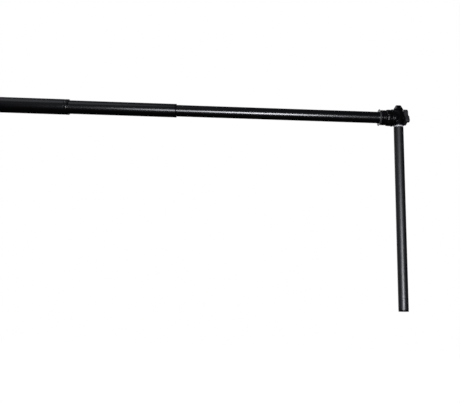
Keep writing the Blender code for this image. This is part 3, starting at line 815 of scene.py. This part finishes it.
def stacked(name: str, rings: list[list[Vector]], place: Matrix) -> Object:
    """Make a closed block with flat sides between level outlines.

    Args:
        name: the object's name.
        rings: the outlines, the top one first, each with the same number of corners.
        place: where the block stands in the frame.

    Returns:
        The block.
    """
    shape = bmesh.new()
    loops = [[shape.verts.new(place @ point) for point in ring] for ring in rings]
    shape.faces.new(loops[0])
    shape.faces.new(reversed(loops[-1]))
    for upper, lower in zip(loops, loops[1:]):
        for index in range(len(upper)):
            shape.faces.new(_quad(upper, lower, index, (index + 1) % len(upper)))
    return new_object(name, shape)


def combine(piece: Object, tool: Object, operation: str) -> None:
    """Join a tool to a piece or cut it away, and remove the tool.

    Args:
        piece: the mesh that is changed.
        tool: the mesh that joins it or cuts it.
        operation: UNION or DIFFERENCE.
    """
    modifier = piece.modifiers.new("combine", "BOOLEAN")
    modifier.operation = operation
    modifier.solver = "EXACT"
    modifier.object = tool
    settle(piece)
    bpy.data.objects.remove(tool, do_unlink=True)


def settle(piece: Object) -> None:
    """Turn a piece's modifiers into its mesh.

    Args:
        piece: the object that has the modifiers.
    """
    bpy.context.view_layer.update()
    graph = bpy.context.evaluated_depsgraph_get()
    mesh = bpy.data.meshes.new_from_object(piece.evaluated_get(graph))
    piece.modifiers.clear()
    piece.data = mesh
    mesh.name = piece.name
    shade(mesh)


def middle_of(node: str) -> Vector:
    """Return the middle of a node's box."""
    low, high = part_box(node)
    return (low + high) / 2


def span_of(node: str, axis: int) -> Span:
    """Return where a node starts and ends along an axis."""
    low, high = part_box(node)
    return low[axis], high[axis]


def width_of(node: str, axis: int) -> float:
    """Return a node's size along an axis."""
    low, high = span_of(node, axis)
    return high - low


@dataclass
class Tubing:
    """What the bar and the post share: the sizes of their tubes and how one is turned."""

    wall: float = 1.2 * MM
    fit: float = 0.3 * MM
    end_round: float = 0.35 * MM
    hold: float = 0.8 * MM
    sides: int = 128

    def drawn(self, name: str, profile: Profile, place: Matrix, edge: float) -> Object:
        """Turn a closed profile whose corners are softened by an edge."""
        return lathe(name, held(softened(profile, edge, True), self.hold), place, self.sides, True)


@dataclass
class TelescopingBar(Tubing):
    """The three nested tubes and the bushes in their mouths."""

    bush_edge: float = 0.5 * MM
    bush_length: float = 60.0 * MM
    groove_setback: float = 6.0 * MM
    groove_width: float = 1.3 * MM
    groove_floor: Span = (0.3, 0.8)
    groove_depth: float = 0.55 * MM
    groove_round: float = 0.12 * MM
    band_rise: float = 0.1 * MM
    band_fall: float = 0.3 * MM
    band_spans: int = 16

    def build(self, shop: Workshop) -> None:
        """Make the tubes and bushes and dress what they hide.

        Args:
            shop: the workshop that finishes the pieces.
        """
        height = middle_of("inner_tube").z
        turn = Matrix.Rotation(-QUARTER_TURN, 4, "Y")
        self.axis = Matrix.Translation((0.0, 0.0, height)) @ turn
        for node, piece in (
            ("inner_tube", self.tube("inner_tube")),
            ("middle_tube", self.tube("middle_tube")),
            ("outer_tube", self.outer_tube()),
            ("middle_mouth_bush", self.bush("middle_mouth_bush", "inner_tube")),
            ("outer_mouth_bush", self.bush("outer_mouth_bush", "middle_tube")),
        ):
            shop.hand_over(piece, node, Run.BAR)
        parts = ("glide", "lock_plug", "lock_shoe", "lock_washer", "lock_screw", "plug_rivet")
        for stage in ("inner", "middle"):
            for part in parts:
                shop.dress(f"{stage}_{part}", Run.BAR)

    def along(self, node: str) -> Span:
        """Return where a node starts and ends, measured along the bar from the post."""
        low, high = span_of(node, 0)
        return -high, -low

    def tube(self, node: str) -> Object:
        """Make a plain tube with dressed ends.

        Args:
            node: the tube's node.

        Returns:
            The tube.
        """
        start, end = self.along(node)
        outer = width_of(node, 2) / 2
        bore = outer - self.wall
        profile = [(outer, end), (outer, start), (bore, start), (bore, end)]
        return self.drawn(f"{node}_drawn", profile, self.axis, self.end_round)

    def outer_tube(self) -> Object:
        """Make the thick tube, with its crimped groove and the crowned band at its mouth.

        Returns:
            The tube.
        """
        start, end = self.along("outer_tube")
        outer = width_of("outer_tube", 2) / 2
        bore = outer - self.wall
        groove = start + self.groove_setback
        floor = outer - self.groove_depth
        profile = [
            (outer, end),
            (outer, groove + self.groove_width),
            (floor, groove + self.groove_floor[1] * self.groove_width),
            (floor, groove + self.groove_floor[0] * self.groove_width),
        ]
        for height, fall in crowned(groove, start, self.band_spans):
            profile.append((outer + self.band_rise - self.band_fall * fall, height))
        profile += [(bore, start), (bore, end)]
        return self.drawn("outer_tube_drawn", profile, self.axis, self.groove_round)

    def bush(self, node: str, inside: str) -> Object:
        """Make a mouth bush with a soft lip.

        Args:
            node: the bush's node.
            inside: the tube that slides in it.

        Returns:
            The bush.
        """
        start, end = self.along(node)
        lip = width_of(node, 2) / 2
        lip_end = end - self.bush_length
        bore = width_of(inside, 2) / 2 + self.fit
        sleeve = lip - self.wall - self.fit
        profile = [
            (sleeve, end),
            (sleeve, lip_end),
            (lip, lip_end),
            (lip, start),
            (bore, start),
            (bore, end),
        ]
        return self.drawn(f"{node}_moulded", profile, self.axis, self.bush_edge)


@dataclass
class StandPost(Tubing):
    """The post's top section: its tube, its foot plug, its stud and the pin across it."""

    foot_height: float = 3.0 * MM
    foot_round: float = 0.9 * MM
    stud_radius: float = 8.0 * MM
    stud_height: float = 34.0 * MM
    stud_chamfer: float = 1.2 * MM
    stud_sides: int = 96
    waist_radius: float = 6.8 * MM
    waist_centre: float = 21.7 * MM
    waist_height: float = 12.0 * MM
    waist_ramp: float = 1.2 * MM
    shoulder_height: float = 3.8 * MM
    shoulder_round: float = 0.5 * MM
    pin_radius: float = 1.5 * MM
    pin_dome: float = 0.35 * MM
    pin_sides: int = 32

    def build(self, shop: Workshop) -> None:
        """Make the post's pieces.

        Args:
            shop: the workshop that finishes the pieces.
        """
        self.upright = Matrix.Identity(4)
        self.outer = width_of("riser_tube", 0) / 2
        self.inner = self.outer - self.wall - self.fit
        for node, piece in (
            ("riser_tube", self.tube()),
            ("riser_foot_plug", self.foot()),
            ("stand_spigot", self.stud()),
            ("spigot_pin", self.pin()),
        ):
            shop.hand_over(piece, node, Run.POST)

    def pin_place(self) -> Matrix:
        """Find the pin's place.

        Returns:
            The place, with +Z along the pin.
        """
        low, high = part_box("spigot_pin")
        turn = math.atan2(low.y - high.y, high.x - low.x)
        lying = Euler((0.0, QUARTER_TURN, turn)).to_matrix().to_4x4()
        return Matrix.Translation((low + high) / 2) @ lying

    def tube(self) -> Object:
        """Make the post's tube, drilled for the pin.

        Returns:
            The tube.
        """
        low, high = span_of("riser_tube", 2)
        bore = self.outer - self.wall
        profile = [(self.outer, high), (self.outer, low), (bore, low), (bore, high)]
        tube = self.drawn("riser_tube_drawn", profile, self.upright, self.end_round)
        bit = rod(self.pin_radius + self.fit, 2 * self.outer, -2 * self.outer)
        drill = lathe("pin_drill", bit, self.pin_place(), self.pin_sides)
        combine(tube, drill, "DIFFERENCE")
        return tube

    def foot(self) -> Object:
        """Make the foot plug with a round edge.

        Returns:
            The plug.
        """
        low, high = span_of("riser_foot_plug", 2)
        rim = low + self.foot_height
        profile = [
            (0.0, high),
            (self.inner, high),
            (self.inner, rim),
            (self.outer, rim),
            (self.outer, low),
            (0.0, low),
        ]
        smooth = softened(profile, self.foot_round)
        return lathe("riser_foot_plug_moulded", smooth, self.upright, self.sides)

    def stud(self) -> Object:
        """Make the turned stud with its shoulder and its waist.

        Returns:
            The stud.
        """
        low, high = span_of("stand_spigot", 2)
        shoulder_top = high - self.stud_height
        shoulder = width_of("stand_spigot", 0) / 2
        waist_low = shoulder_top + self.waist_centre - self.waist_height / 2
        waist_high = waist_low + self.waist_height
        profile = [
            (0.0, high),
            (self.stud_radius - self.stud_chamfer, high),
            (self.stud_radius, high - self.stud_chamfer),
            (self.stud_radius, waist_high + self.waist_ramp),
            (self.waist_radius, waist_high),
            (self.waist_radius, waist_low),
            (self.stud_radius, waist_low - self.waist_ramp),
            (self.stud_radius, shoulder_top),
            (shoulder, shoulder_top),
            (shoulder, shoulder_top - self.shoulder_height),
            (self.inner, shoulder_top - self.shoulder_height),
            (self.inner, low),
            (0.0, low),
        ]
        smooth = softened(profile, self.shoulder_round)
        return lathe("stand_spigot_turned", smooth, self.upright, self.stud_sides)

    def pin(self) -> Object:
        """Make the pin with softly domed ends.

        Returns:
            The pin.
        """
        half = self.outer - self.fit
        smooth = softened(rod(self.pin_radius, half, -half), self.pin_dome)
        return lathe("spigot_pin_turned", smooth, self.pin_place(), self.pin_sides)


@dataclass
class EndFitting:
    """An end fitting: body, cap, collet, locking sleeve, mouth ring and clamp.

    It is made for one side and one tube. A turning is the steps round a form of the body, and a
    small turn in degrees that keeps its corners apart from those of other forms.
    """

    side: Side
    tube: str
    fit: float = 0.3 * MM
    neck_wall: float = 2.0 * MM
    neck_length: float = 14.3 * MM
    flange_start: float = 15.5 * MM
    flange_width: float = 4.2 * MM
    flange_rise: float = 5.3 * MM
    barrel_end: float = 6.0 * MM
    barrel_taper: float = 5.0 * MM
    barrel_step: float = 4.3 * MM
    barrel_crown: float = 0.5 * MM
    barrel_spans: int = 8
    hub_radius: float = 14.0 * MM
    hub_drop: float = 4.1 * MM
    hub_shoulder: float = 2.5 * MM
    hub_turning: Turning = (90, 0.4)
    socket_floor: float = 2.0 * MM
    cap_rise: float = 2.7 * MM
    cap_socket_radius: float = 6.3 * MM
    cap_socket_depth: float = 2.5 * MM
    stud_socket_radius: float = 8.3 * MM
    stud_height: float = 34.0 * MM
    stud_room: float = 2.2 * MM
    boss_radius: float = 11.5 * MM
    boss_end: float = 11.5 * MM
    boss_taper: float = 2.0 * MM
    boss_turning: Turning = (64, 0.7)
    nose_radius: float = 8.5 * MM
    nose_end: float = 17.0 * MM
    insert_radius: float = 6.0 * MM
    insert_length: float = 7.7 * MM
    screw_radius: float = 3.9 * MM
    hollow_turning: Turning = (60, 0.3)
    far_off: float = 40.0 * MM
    voxel: float = 0.5 * MM
    smoothing: int = 9
    smooth_factor: float = 0.5
    kept_share: float = 0.30
    body_sides: int = 96
    sleeve_wall: float = 2.2 * MM
    band: float = 12.0 * MM
    band_ribs: int = 3
    band_step: float = 3.3 * MM
    rib_share: float = 0.96
    rib_spans: int = 10
    rib_crown: float = 0.7 * MM
    grip_rise: float = 1.7 * MM
    grip_heel: float = 1.2 * MM
    grip_crown: float = 0.55 * MM
    grip_least_run: float = 2.0 * MM
    grip_span: float = 0.5 * MM
    flutes: int = 16
    flute_half: float = 2.3 * MM
    flute_depth: float = 0.5 * MM
    flute_run_in: float = 0.8 * MM
    flute_steps: int = 16
    ring_rise: float = 1.8 * MM
    ring_rim: float = 1.4 * MM
    ring_bevel: float = 0.5 * MM
    ring_bevel_spans: int = 6
    ring_hub_rise: float = 3.0 * MM
    ring_sides: int = 128
    edge: float = 0.6 * MM
    cap_skirt_width: float = 24.8 * MM
    cap_skirt_height: float = 3.0 * MM
    cap_top_width: float = 13.0 * MM
    cap_top_corner: float = 2.0 * MM
    cap_height: float = 13.4 * MM
    cap_bevel: float = 0.32 * MM
    cap_bevel_spans: int = 3
    cap_bevel_least_deg: float = 12.0
    cap_spigot_width: float = 11.0 * MM
    knob_depth: float = 10.3 * MM
    knob_reach: float = 24.0 * MM
    knob_waist: float = 11.5 * MM
    knob_lobes: int = 3
    knob_turn_deg: float = 63.0
    knob_edge: float = 1.9 * MM
    knob_back_edge: float = 0.8 * MM
    knob_edge_spans: int = 6
    knob_recess: float = 9.2 * MM
    knob_recess_edge: float = 0.5 * MM
    knob_floor: float = 1.6 * MM
    knob_seat_depth: float = 6.0 * MM
    knob_hub: float = 8.0 * MM
    knob_hub_rise: float = 3.1 * MM
    knob_hub_inset: float = 1.2 * MM
    knob_hub_drop: float = 1.0 * MM
    knob_hub_bend: Span = (0.4 * MM, 0.3 * MM)
    knob_foot: float = 0.4 * MM
    knob_dish: float = 0.7 * MM
    knob_face_rings: Span = (0.35, 0.65)
    knob_sides: int = 144

    def node(self, part: str) -> str:
        """Return the full name of one of this fitting's nodes."""
        return f"{self.side.value}_{part}"

    def build(self, shop: Workshop) -> None:
        """Make the fitting's pieces.

        Args:
            shop: the workshop that finishes the pieces.
        """
        self.measure()
        for part, piece in (
            ("elbow_body", self.body()),
            ("top_cap", self.cap()),
            ("lock_sleeve", self.sleeve()),
            ("mouth_ring", self.ring()),
            ("clamp_knob", self.knob()),
        ):
            shop.hand_over(piece, self.node(part), Run.BAR)
        for part in ("collet", "thread_insert", "clamp_pad", "clamp_screw"):
            shop.dress(self.node(part), Run.BAR)

    def measure(self) -> None:
        """Read the fitting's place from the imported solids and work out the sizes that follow."""
        turn = 0.0 if self.side is Side.NEAR else HALF_TURN
        hub = middle_of(self.node("top_cap"))
        height = middle_of(self.tube).z
        place = Matrix.Translation((hub.x, hub.y, height))
        self.frame = place @ Matrix.Rotation(turn, 4, "Z")
        self.mouthward = self.frame @ Matrix.Rotation(-QUARTER_TURN, 4, "Y")
        self.socket = width_of(self.tube, 2) / 2 + self.fit
        self.neck = self.socket + self.neck_wall
        self.sleeve_bore = self.neck + self.fit
        self.band_radius = self.sleeve_bore + self.sleeve_wall
        self.grip_radius = self.band_radius + self.grip_rise
        self.flange_end = self.flange_start + self.flange_width
        self.neck_end = self.flange_end + self.neck_length
        self.hub_bottom = -(self.neck + self.hub_drop)
        self.cap_seat = self.neck + self.cap_rise
        low, high = self.along("lock_sleeve")
        self.grip_high = high - self.band - self.band_step
        self.flute_window = (low + self.grip_heel, self.grip_high + self.grip_rise)
        clamp_height = middle_of(self.node("clamp_screw")).z - height
        lift = Matrix.Translation((0.0, 0.0, clamp_height))
        self.clamp = self.frame @ (lift @ Matrix.Rotation(QUARTER_TURN, 4, "Y"))

    def along(self, part: str) -> Span:
        """Return where a part starts and ends, measured from the hub towards the mouth.

        Args:
            part: the part's name, without its side.

        Returns:
            Its start and its end.
        """
        inverse = self.mouthward.inverted()
        low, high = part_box(self.node(part))
        ends = sorted(((inverse @ low).z, (inverse @ high).z))
        return ends[0], ends[1]

    @staticmethod
    def form(name: str, profile: Profile, place: Matrix, turning: Turning) -> Object:
        """Turn one form of the body, with its own steps and small turn."""
        sides, degrees = turning
        return lathe(name, profile, place @ Matrix.Rotation(math.radians(degrees), 4, "Z"), sides)

    def body(self) -> Object:
        """Make the cast body: neck, stop flange and barrel, hub and clamp boss in one skin.

        Returns:
            The body.
        """
        flange = self.neck + self.flange_rise
        floor = self.hub_radius + self.socket_floor
        tail = self.barrel_end - self.barrel_taper
        barrel = [
            (0.0, floor),
            (self.socket, floor),
            (self.socket, self.neck_end),
            (self.neck, self.neck_end),
            (self.neck, self.flange_end),
            (flange, self.flange_end),
            (flange, self.flange_start),
        ]
        for height, fall in crowned(self.flange_start, self.barrel_end, self.barrel_spans):
            barrel.append((self.neck - self.barrel_crown * fall, height))
        barrel += [(self.neck - self.barrel_step, tail), (0.0, tail)]
        hub = [
            (0.0, self.cap_seat),
            (self.hub_radius - self.hub_shoulder, self.cap_seat),
            (self.hub_radius, self.cap_seat - self.hub_shoulder),
            (self.hub_radius, self.hub_bottom),
            (0.0, self.hub_bottom),
        ]
        boss = [
            (0.0, self.nose_end),
            (self.nose_radius, self.nose_end),
            (self.nose_radius, self.boss_end + self.boss_taper),
            (self.boss_radius, self.boss_end),
            (self.boss_radius, 0.0),
            (0.0, 0.0),
        ]
        body = lathe(self.node("elbow_body_cast"), barrel, self.mouthward, self.body_sides)
        combine(body, self.form("hub_form", hub, self.frame, self.hub_turning), "UNION")
        combine(body, self.form("boss_form", boss, self.clamp, self.boss_turning), "UNION")
        for name, place, profile in self.hollows():
            combine(body, self.form(name, profile, place, self.hollow_turning), "DIFFERENCE")
        skin = body.modifiers.new("cast_skin", "REMESH")
        skin.mode = "VOXEL"
        skin.voxel_size = self.voxel
        soft = body.modifiers.new("soft_corners", "SMOOTH")
        soft.iterations = self.smoothing
        soft.factor = self.smooth_factor
        fewer = body.modifiers.new("fewer_faces", "DECIMATE")
        fewer.ratio = self.kept_share
        settle(body)
        return body

    def hollows(self) -> list[tuple[str, Matrix, Profile]]:
        """Work out the stud's socket, the cap's socket and the clamp's bore.

        Returns:
            The name, place and profile of each cutter.
        """
        socket_top = self.hub_bottom - self.fit + self.stud_height + self.stud_room
        cap_floor = self.cap_seat - self.cap_socket_depth
        seat = self.insert_radius + self.fit
        seat_floor = self.nose_end - self.insert_length - self.fit
        hole = self.screw_radius + self.fit
        inside = self.stud_socket_radius / 2
        bore = [
            (0.0, self.far_off),
            (seat, self.far_off),
            (seat, seat_floor),
            (hole, seat_floor),
            (hole, inside),
            (0.0, inside),
        ]
        stud = rod(self.stud_socket_radius, socket_top, -self.far_off)
        cap = rod(self.cap_socket_radius, self.far_off, cap_floor)
        return [
            ("stud_hollow", self.frame, stud),
            ("cap_hollow", self.frame, cap),
            ("clamp_hollow", self.clamp, bore),
        ]

    def cap(self) -> Object:
        """Make the cap with soft edges: square at its top, eight-sided at its skirt.

        Returns:
            The cap.
        """
        seat = self.cap_seat + self.fit
        rings = [
            cut_square(self.cap_top_width, self.cap_top_corner, seat + self.cap_height),
            octagon(self.cap_skirt_width, seat + self.cap_skirt_height),
            octagon(self.cap_skirt_width, seat),
            octagon(self.cap_spigot_width, seat),
            octagon(self.cap_spigot_width, seat - self.cap_socket_depth + self.fit),
        ]
        cap = stacked(self.node("top_cap_moulded"), rings, self.frame)
        bevel = cap.modifiers.new("soft_edges", "BEVEL")
        bevel.width = self.cap_bevel
        bevel.segments = self.cap_bevel_spans
        bevel.limit_method = "ANGLE"
        bevel.angle_limit = math.radians(self.cap_bevel_least_deg)
        settle(cap)
        return cap

    def sleeve(self) -> Object:
        """Make the locking sleeve: a band of crowned ribs, a step and a fluted grip.

        Returns:
            The sleeve.
        """
        low, high = self.along("lock_sleeve")
        pitch = self.band / self.band_ribs
        half = 0.5 * pitch * self.rib_share
        valley = self.band_radius - self.rib_crown
        grip = self.grip_radius - self.grip_crown
        profile: Profile = []
        for index in range(self.band_ribs):
            middle = high - pitch * (index + 0.5)
            for height, fall in crowned(middle + half, middle - half, self.rib_spans):
                profile.append((self.band_radius - self.rib_crown * fall, height))
        profile += [
            (valley, high - self.band - self.edge),
            (valley, self.grip_high + self.grip_rise + self.edge),
            (grip, self.grip_high),
            (grip, low),
            (self.sleeve_bore, low),
            (self.sleeve_bore, high - self.band / 2),
            (self.neck - self.edge, high),
        ]
        smooth = self.divided(softened(profile, self.edge, True))
        name = self.node("lock_sleeve_moulded")
        sides = self.flutes * self.flute_steps
        return lathe(name, smooth, self.mouthward, sides, True, self.fluted)

    def divided(self, profile: Profile) -> Profile:
        """Add points along the grip, so that it is crowned and the flutes' ends can bend.

        Args:
            profile: the sleeve's profile.

        Returns:
            The profile with the grip's long run cut into short ones, higher in its middle.
        """
        result: Profile = []
        for index, (radius, height) in enumerate(profile):
            result.append((radius, height))
            after, after_height = profile[(index + 1) % len(profile)]
            run = height - after_height
            if min(radius, after) > self.band_radius and run > self.grip_least_run:
                spans = round(run / self.grip_span)
                for place, fall in crowned(height, after_height, spans)[1:-1]:
                    result.append((radius + self.grip_crown * (1.0 - fall), place))
        return result

    def fluted(self, angle: float, radius: float, height: float) -> float:
        """Return the sleeve's radius at an angle, lower where a flute runs along the grip.

        Args:
            angle: the angle round the sleeve.
            radius: the radius without flutes.
            height: the height along the sleeve.

        Returns:
            The radius.
        """
        start, end = self.flute_window
        pitch = 2 * math.pi / self.flutes
        off = (angle + pitch / 2) % pitch - pitch / 2
        across = abs(off) * self.grip_radius / self.flute_half
        ends = min((height - start) / self.flute_run_in, (end - height) / self.flute_run_in, 1.0)
        if radius <= self.band_radius or across >= 1.0 or ends <= 0.0:
            return radius
        hollow = (1.0 + math.cos(across * math.pi)) / 2
        return radius - self.flute_depth * hollow * math.sin(ends * QUARTER_TURN)

    def ring(self) -> Object:
        """Make the mouth ring with its rounded rim.

        Returns:
            The ring.
        """
        low, high = self.along("mouth_ring")
        rim = self.band_radius + self.ring_rise
        hub = self.socket + self.ring_hub_rise
        profile = [
            (rim, high),
            (rim, high - self.ring_rim),
            (hub, high - self.ring_rim),
            (hub, low),
            (self.socket, low),
            (self.socket, high),
        ]
        smooth = softened(profile, self.ring_bevel, True, self.ring_bevel_spans)
        name = self.node("mouth_ring_turned")
        return lathe(name, smooth, self.mouthward, self.ring_sides, True)

    def knob(self) -> Object:
        """Make the three-lobed knob: lobes, a dished face, a hub and the hollow for the nose.

        Returns:
            The knob.
        """
        back = self.hub_radius + self.fit
        front = back + self.knob_depth
        floor = self.nose_end + self.fit + self.knob_floor
        seat = self.screw_radius + self.fit
        seat_end = floor + self.knob_seat_depth
        hub_top = front + self.knob_hub_rise
        dish = front - self.knob_dish
        foot = self.knob_hub + self.knob_foot
        rim = self.knob_reach - self.knob_edge
        inset, drop = self.knob_hub_bend
        profile = [
            (0.0, hub_top),
            (self.knob_hub - self.knob_hub_inset, hub_top),
            (self.knob_hub - inset, hub_top - drop),
            (self.knob_hub, hub_top - self.knob_hub_drop),
            (self.knob_hub, dish + self.knob_foot),
            (foot, dish),
        ]
        for share in self.knob_face_rings:
            profile.append((foot + (rim - foot) * share, dish + self.knob_dish * share))
        spans = self.knob_edge_spans
        turns = [QUARTER_TURN * step / spans for step in range(spans + 1)]
        for angle in turns:
            reach = self.knob_reach - self.knob_edge * (1.0 - math.sin(angle))
            profile.append((reach, front - self.knob_edge * (1.0 - math.cos(angle))))
        for angle in reversed(turns):
            reach = self.knob_reach - self.knob_back_edge * (1.0 - math.sin(angle))
            profile.append((reach, back + self.knob_back_edge * (1.0 - math.cos(angle))))
        profile += [
            (self.knob_recess + self.knob_recess_edge, back),
            (self.knob_recess, back + self.knob_recess_edge),
            (self.knob_recess, floor),
            (seat, floor),
            (seat, seat_end),
            (0.0, seat_end),
        ]
        place = self.clamp @ Matrix.Rotation(math.radians(self.knob_turn_deg), 4, "Z")
        name = self.node("clamp_knob_moulded")
        return lathe(name, profile, place, self.knob_sides, False, self.lobed)

    def lobed(self, angle: float, radius: float, height: float) -> float:
        """Return the knob's radius at an angle: hub and recess stay round, the rest has lobes.

        Args:
            angle: the angle from a lobe's middle.
            radius: the radius at a lobe's middle.
            height: the height along the knob, which changes nothing.

        Returns:
            The radius.
        """
        if radius <= self.knob_recess + self.knob_recess_edge:
            return radius
        wave = ((1.0 + math.cos(self.knob_lobes * angle)) / 2.0) ** 2
        outline = self.knob_waist + (self.knob_reach - self.knob_waist) * wave
        rim = self.knob_reach - self.knob_edge
        if radius >= rim:
            return outline + radius - self.knob_reach
        foot = self.knob_hub + self.knob_foot
        share = (radius - foot) / (rim - foot)
        return foot + (outline - self.knob_edge - foot) * share


@dataclass(frozen=True)
class Softbox:
    """A rectangular lamp: its middle, the point it faces, its width and height, its watts."""

    name: str
    place: Point
    target: Point
    size: Span
    power: float


SOFTBOXES = (
    Softbox("front_softbox", (-0.20, -1.95, -0.06), (-0.35, 0.0, 0.40), (0.44, 0.60), 20.0),
    Softbox("left_panel", (-0.67, -1.95, -0.06), (-0.60, 0.0, 0.40), (0.46, 0.60), 6.2),
    Softbox("top_softbox", (-1.60, -0.90, 2.20), (-0.90, 0.0, 0.40), (1.80, 1.20), 2.5),
)


@dataclass
class Studio:
    """The pale floor, the white surround, the lamps and the camera.

    A span is where a part of the room's light starts and ends, as a part of a direction.
    """

    floor_height: float = -0.45
    floor_size: float = 60.0
    floor_dull: float = 0.02
    floor_pale: float = 0.85
    floor_glow: float = 0.91
    camera_place: Point = (-0.47357, -1.62592, -0.07456)
    camera_turn_deg: Point = (101.7487, -1.463, -1.6658)
    camera_nearest: float = 0.01
    lens: float = 51.375
    sensor: float = 36.0
    left_light: float = 0.11
    right_light: float = 0.03
    side_span: Span = (-0.25, 0.22)
    dark_share: float = 0.01
    low_span: Span = (-0.12, 0.10)
    ceiling_way: Point = (-0.56, 0.22, 0.80)
    ceiling_reach: float = 0.11
    ceiling_light: float = 2.6
    behind_span: Span = (0.72, 0.92)
    horizon_span: Span = (-0.25, 0.0)
    room_tint: Colour = (0.95, 1.0, 1.15)
    lamp_tint: Colour = (0.985, 1.0, 1.06)

    def build(self) -> None:
        """Put up the whole studio."""
        self.camera()
        self.floor()
        self.surround()
        for softbox in SOFTBOXES:
            self.hang(softbox)
        bpy.context.scene.view_settings.view_transform = "Standard"
        LOG.info("studio is up")

    def camera(self) -> None:
        """Place the camera where the photograph was taken from."""
        lens = bpy.data.cameras.new("photograph_view")
        lens.lens = self.lens
        lens.sensor_width = self.sensor
        lens.clip_start = self.camera_nearest
        camera = bpy.data.objects.new("photograph_view", lens)
        camera.location = self.camera_place
        camera.rotation_euler = [math.radians(turn) for turn in self.camera_turn_deg]
        bpy.context.scene.collection.objects.link(camera)
        bpy.context.scene.camera = camera

    def hang(self, softbox: Softbox) -> None:
        """Hang a softbox.

        Args:
            softbox: the softbox.
        """
        data = bpy.data.lights.new(softbox.name, "AREA")
        data.shape = "RECTANGLE"
        data.size, data.size_y = softbox.size
        data.energy = softbox.power
        data.color = self.lamp_tint
        lamp = bpy.data.objects.new(softbox.name, data)
        lamp.location = softbox.place
        aim = Vector(softbox.target) - Vector(softbox.place)
        lamp.rotation_euler = aim.to_track_quat("-Z", "Y").to_euler()
        lamp.visible_camera = False
        bpy.context.scene.collection.objects.link(lamp)

    def floor(self) -> None:
        """Lay the pale floor, which shows white and keeps the object's shadow."""
        shape = bmesh.new()
        half = self.floor_size / 2
        corners = [(-half, -half), (half, -half), (half, half), (-half, half)]
        shape.faces.new([shape.verts.new((x, y, self.floor_height)) for x, y in corners])
        floor = new_object("pale_floor", shape)
        material = bpy.data.materials.new("pale_floor")
        material.use_nodes = True
        material.node_tree.nodes.clear()
        board = NodeBoard(material.node_tree)
        path = board.add("ShaderNodeLightPath")
        dull, pale = board.add("ShaderNodeBsdfDiffuse"), board.add("ShaderNodeBsdfDiffuse")
        dull.inputs["Color"].default_value = (*(self.floor_dull,) * 3, 1.0)
        pale.inputs["Color"].default_value = (*(self.floor_pale,) * 3, 1.0)
        glow = board.add("ShaderNodeEmission")
        glow.inputs["Strength"].default_value = self.floor_glow
        lit = board.add("ShaderNodeAddShader")
        board.feed(lit.inputs[0], pale.outputs[0])
        board.feed(lit.inputs[1], glow.outputs[0])
        shown = board.add("ShaderNodeMixShader")
        board.feed(shown.inputs[0], path.outputs["Is Camera Ray"])
        board.feed(shown.inputs[1], dull.outputs[0])
        board.feed(shown.inputs[2], lit.outputs[0])
        out = board.add("ShaderNodeOutputMaterial")
        board.feed(out.inputs["Surface"], shown.outputs[0])
        floor.data.materials.append(material)

    def surround(self) -> None:
        """Surround the object with white for the camera and with a dim room for the rest."""
        world = bpy.data.worlds.new("studio_surround")
        bpy.context.scene.world = world
        world.use_nodes = True
        board = NodeBoard(world.node_tree)
        backdrop = world.node_tree.nodes["Background"]
        backdrop.inputs["Strength"].default_value = 1.0
        direction = board.add("ShaderNodeTexCoord").outputs["Generated"]
        parts = board.add("ShaderNodeSeparateXYZ")
        board.feed(parts.inputs[0], direction)
        across, away, up = parts.outputs
        side = board.spread(across, *self.side_span, self.left_light, self.right_light)
        low_room = board.times(side, board.spread(up, *self.low_span, self.dark_share, 1.0))
        off = board.add("ShaderNodeVectorMath", operation="DISTANCE")
        board.feed(off.inputs[0], direction)
        off.inputs[1].default_value = self.ceiling_way
        near, far = self.ceiling_reach, 2 * self.ceiling_reach
        patch = board.spread(off.outputs["Value"], near, far, self.ceiling_light, 0.0)
        room = board.math("MAXIMUM", low_room, patch)
        straight = board.spread(away, *self.behind_span)
        behind = board.times(straight, board.spread(up, *self.horizon_span))
        path = board.add("ShaderNodeLightPath")
        glossy, passed = path.outputs["Is Glossy Ray"], path.outputs["Is Transmission Ray"]
        mirrored = board.times(board.math("MAXIMUM", glossy, passed), behind)
        white = board.math("MAXIMUM", path.outputs["Is Camera Ray"], mirrored)
        colour = board.add("ShaderNodeCombineColor")
        for socket, tint in zip(colour.inputs[:3], self.room_tint):
            board.feed(socket, board.math("MAXIMUM", board.times(room, tint), white))
        board.feed(backdrop.inputs["Color"], colour.outputs[0])


def main() -> None:
    """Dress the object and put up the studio."""
    logging.basicConfig(level=logging.INFO, format="%(name)s: %(message)s")
    shop = Workshop()
    Studio().build()
    TelescopingBar().build(shop)
    StandPost().build(shop)
    EndFitting(Side.NEAR, "inner_tube").build(shop)
    EndFitting(Side.FAR, "outer_tube").build(shop)


if __name__ == "__main__":
    main()
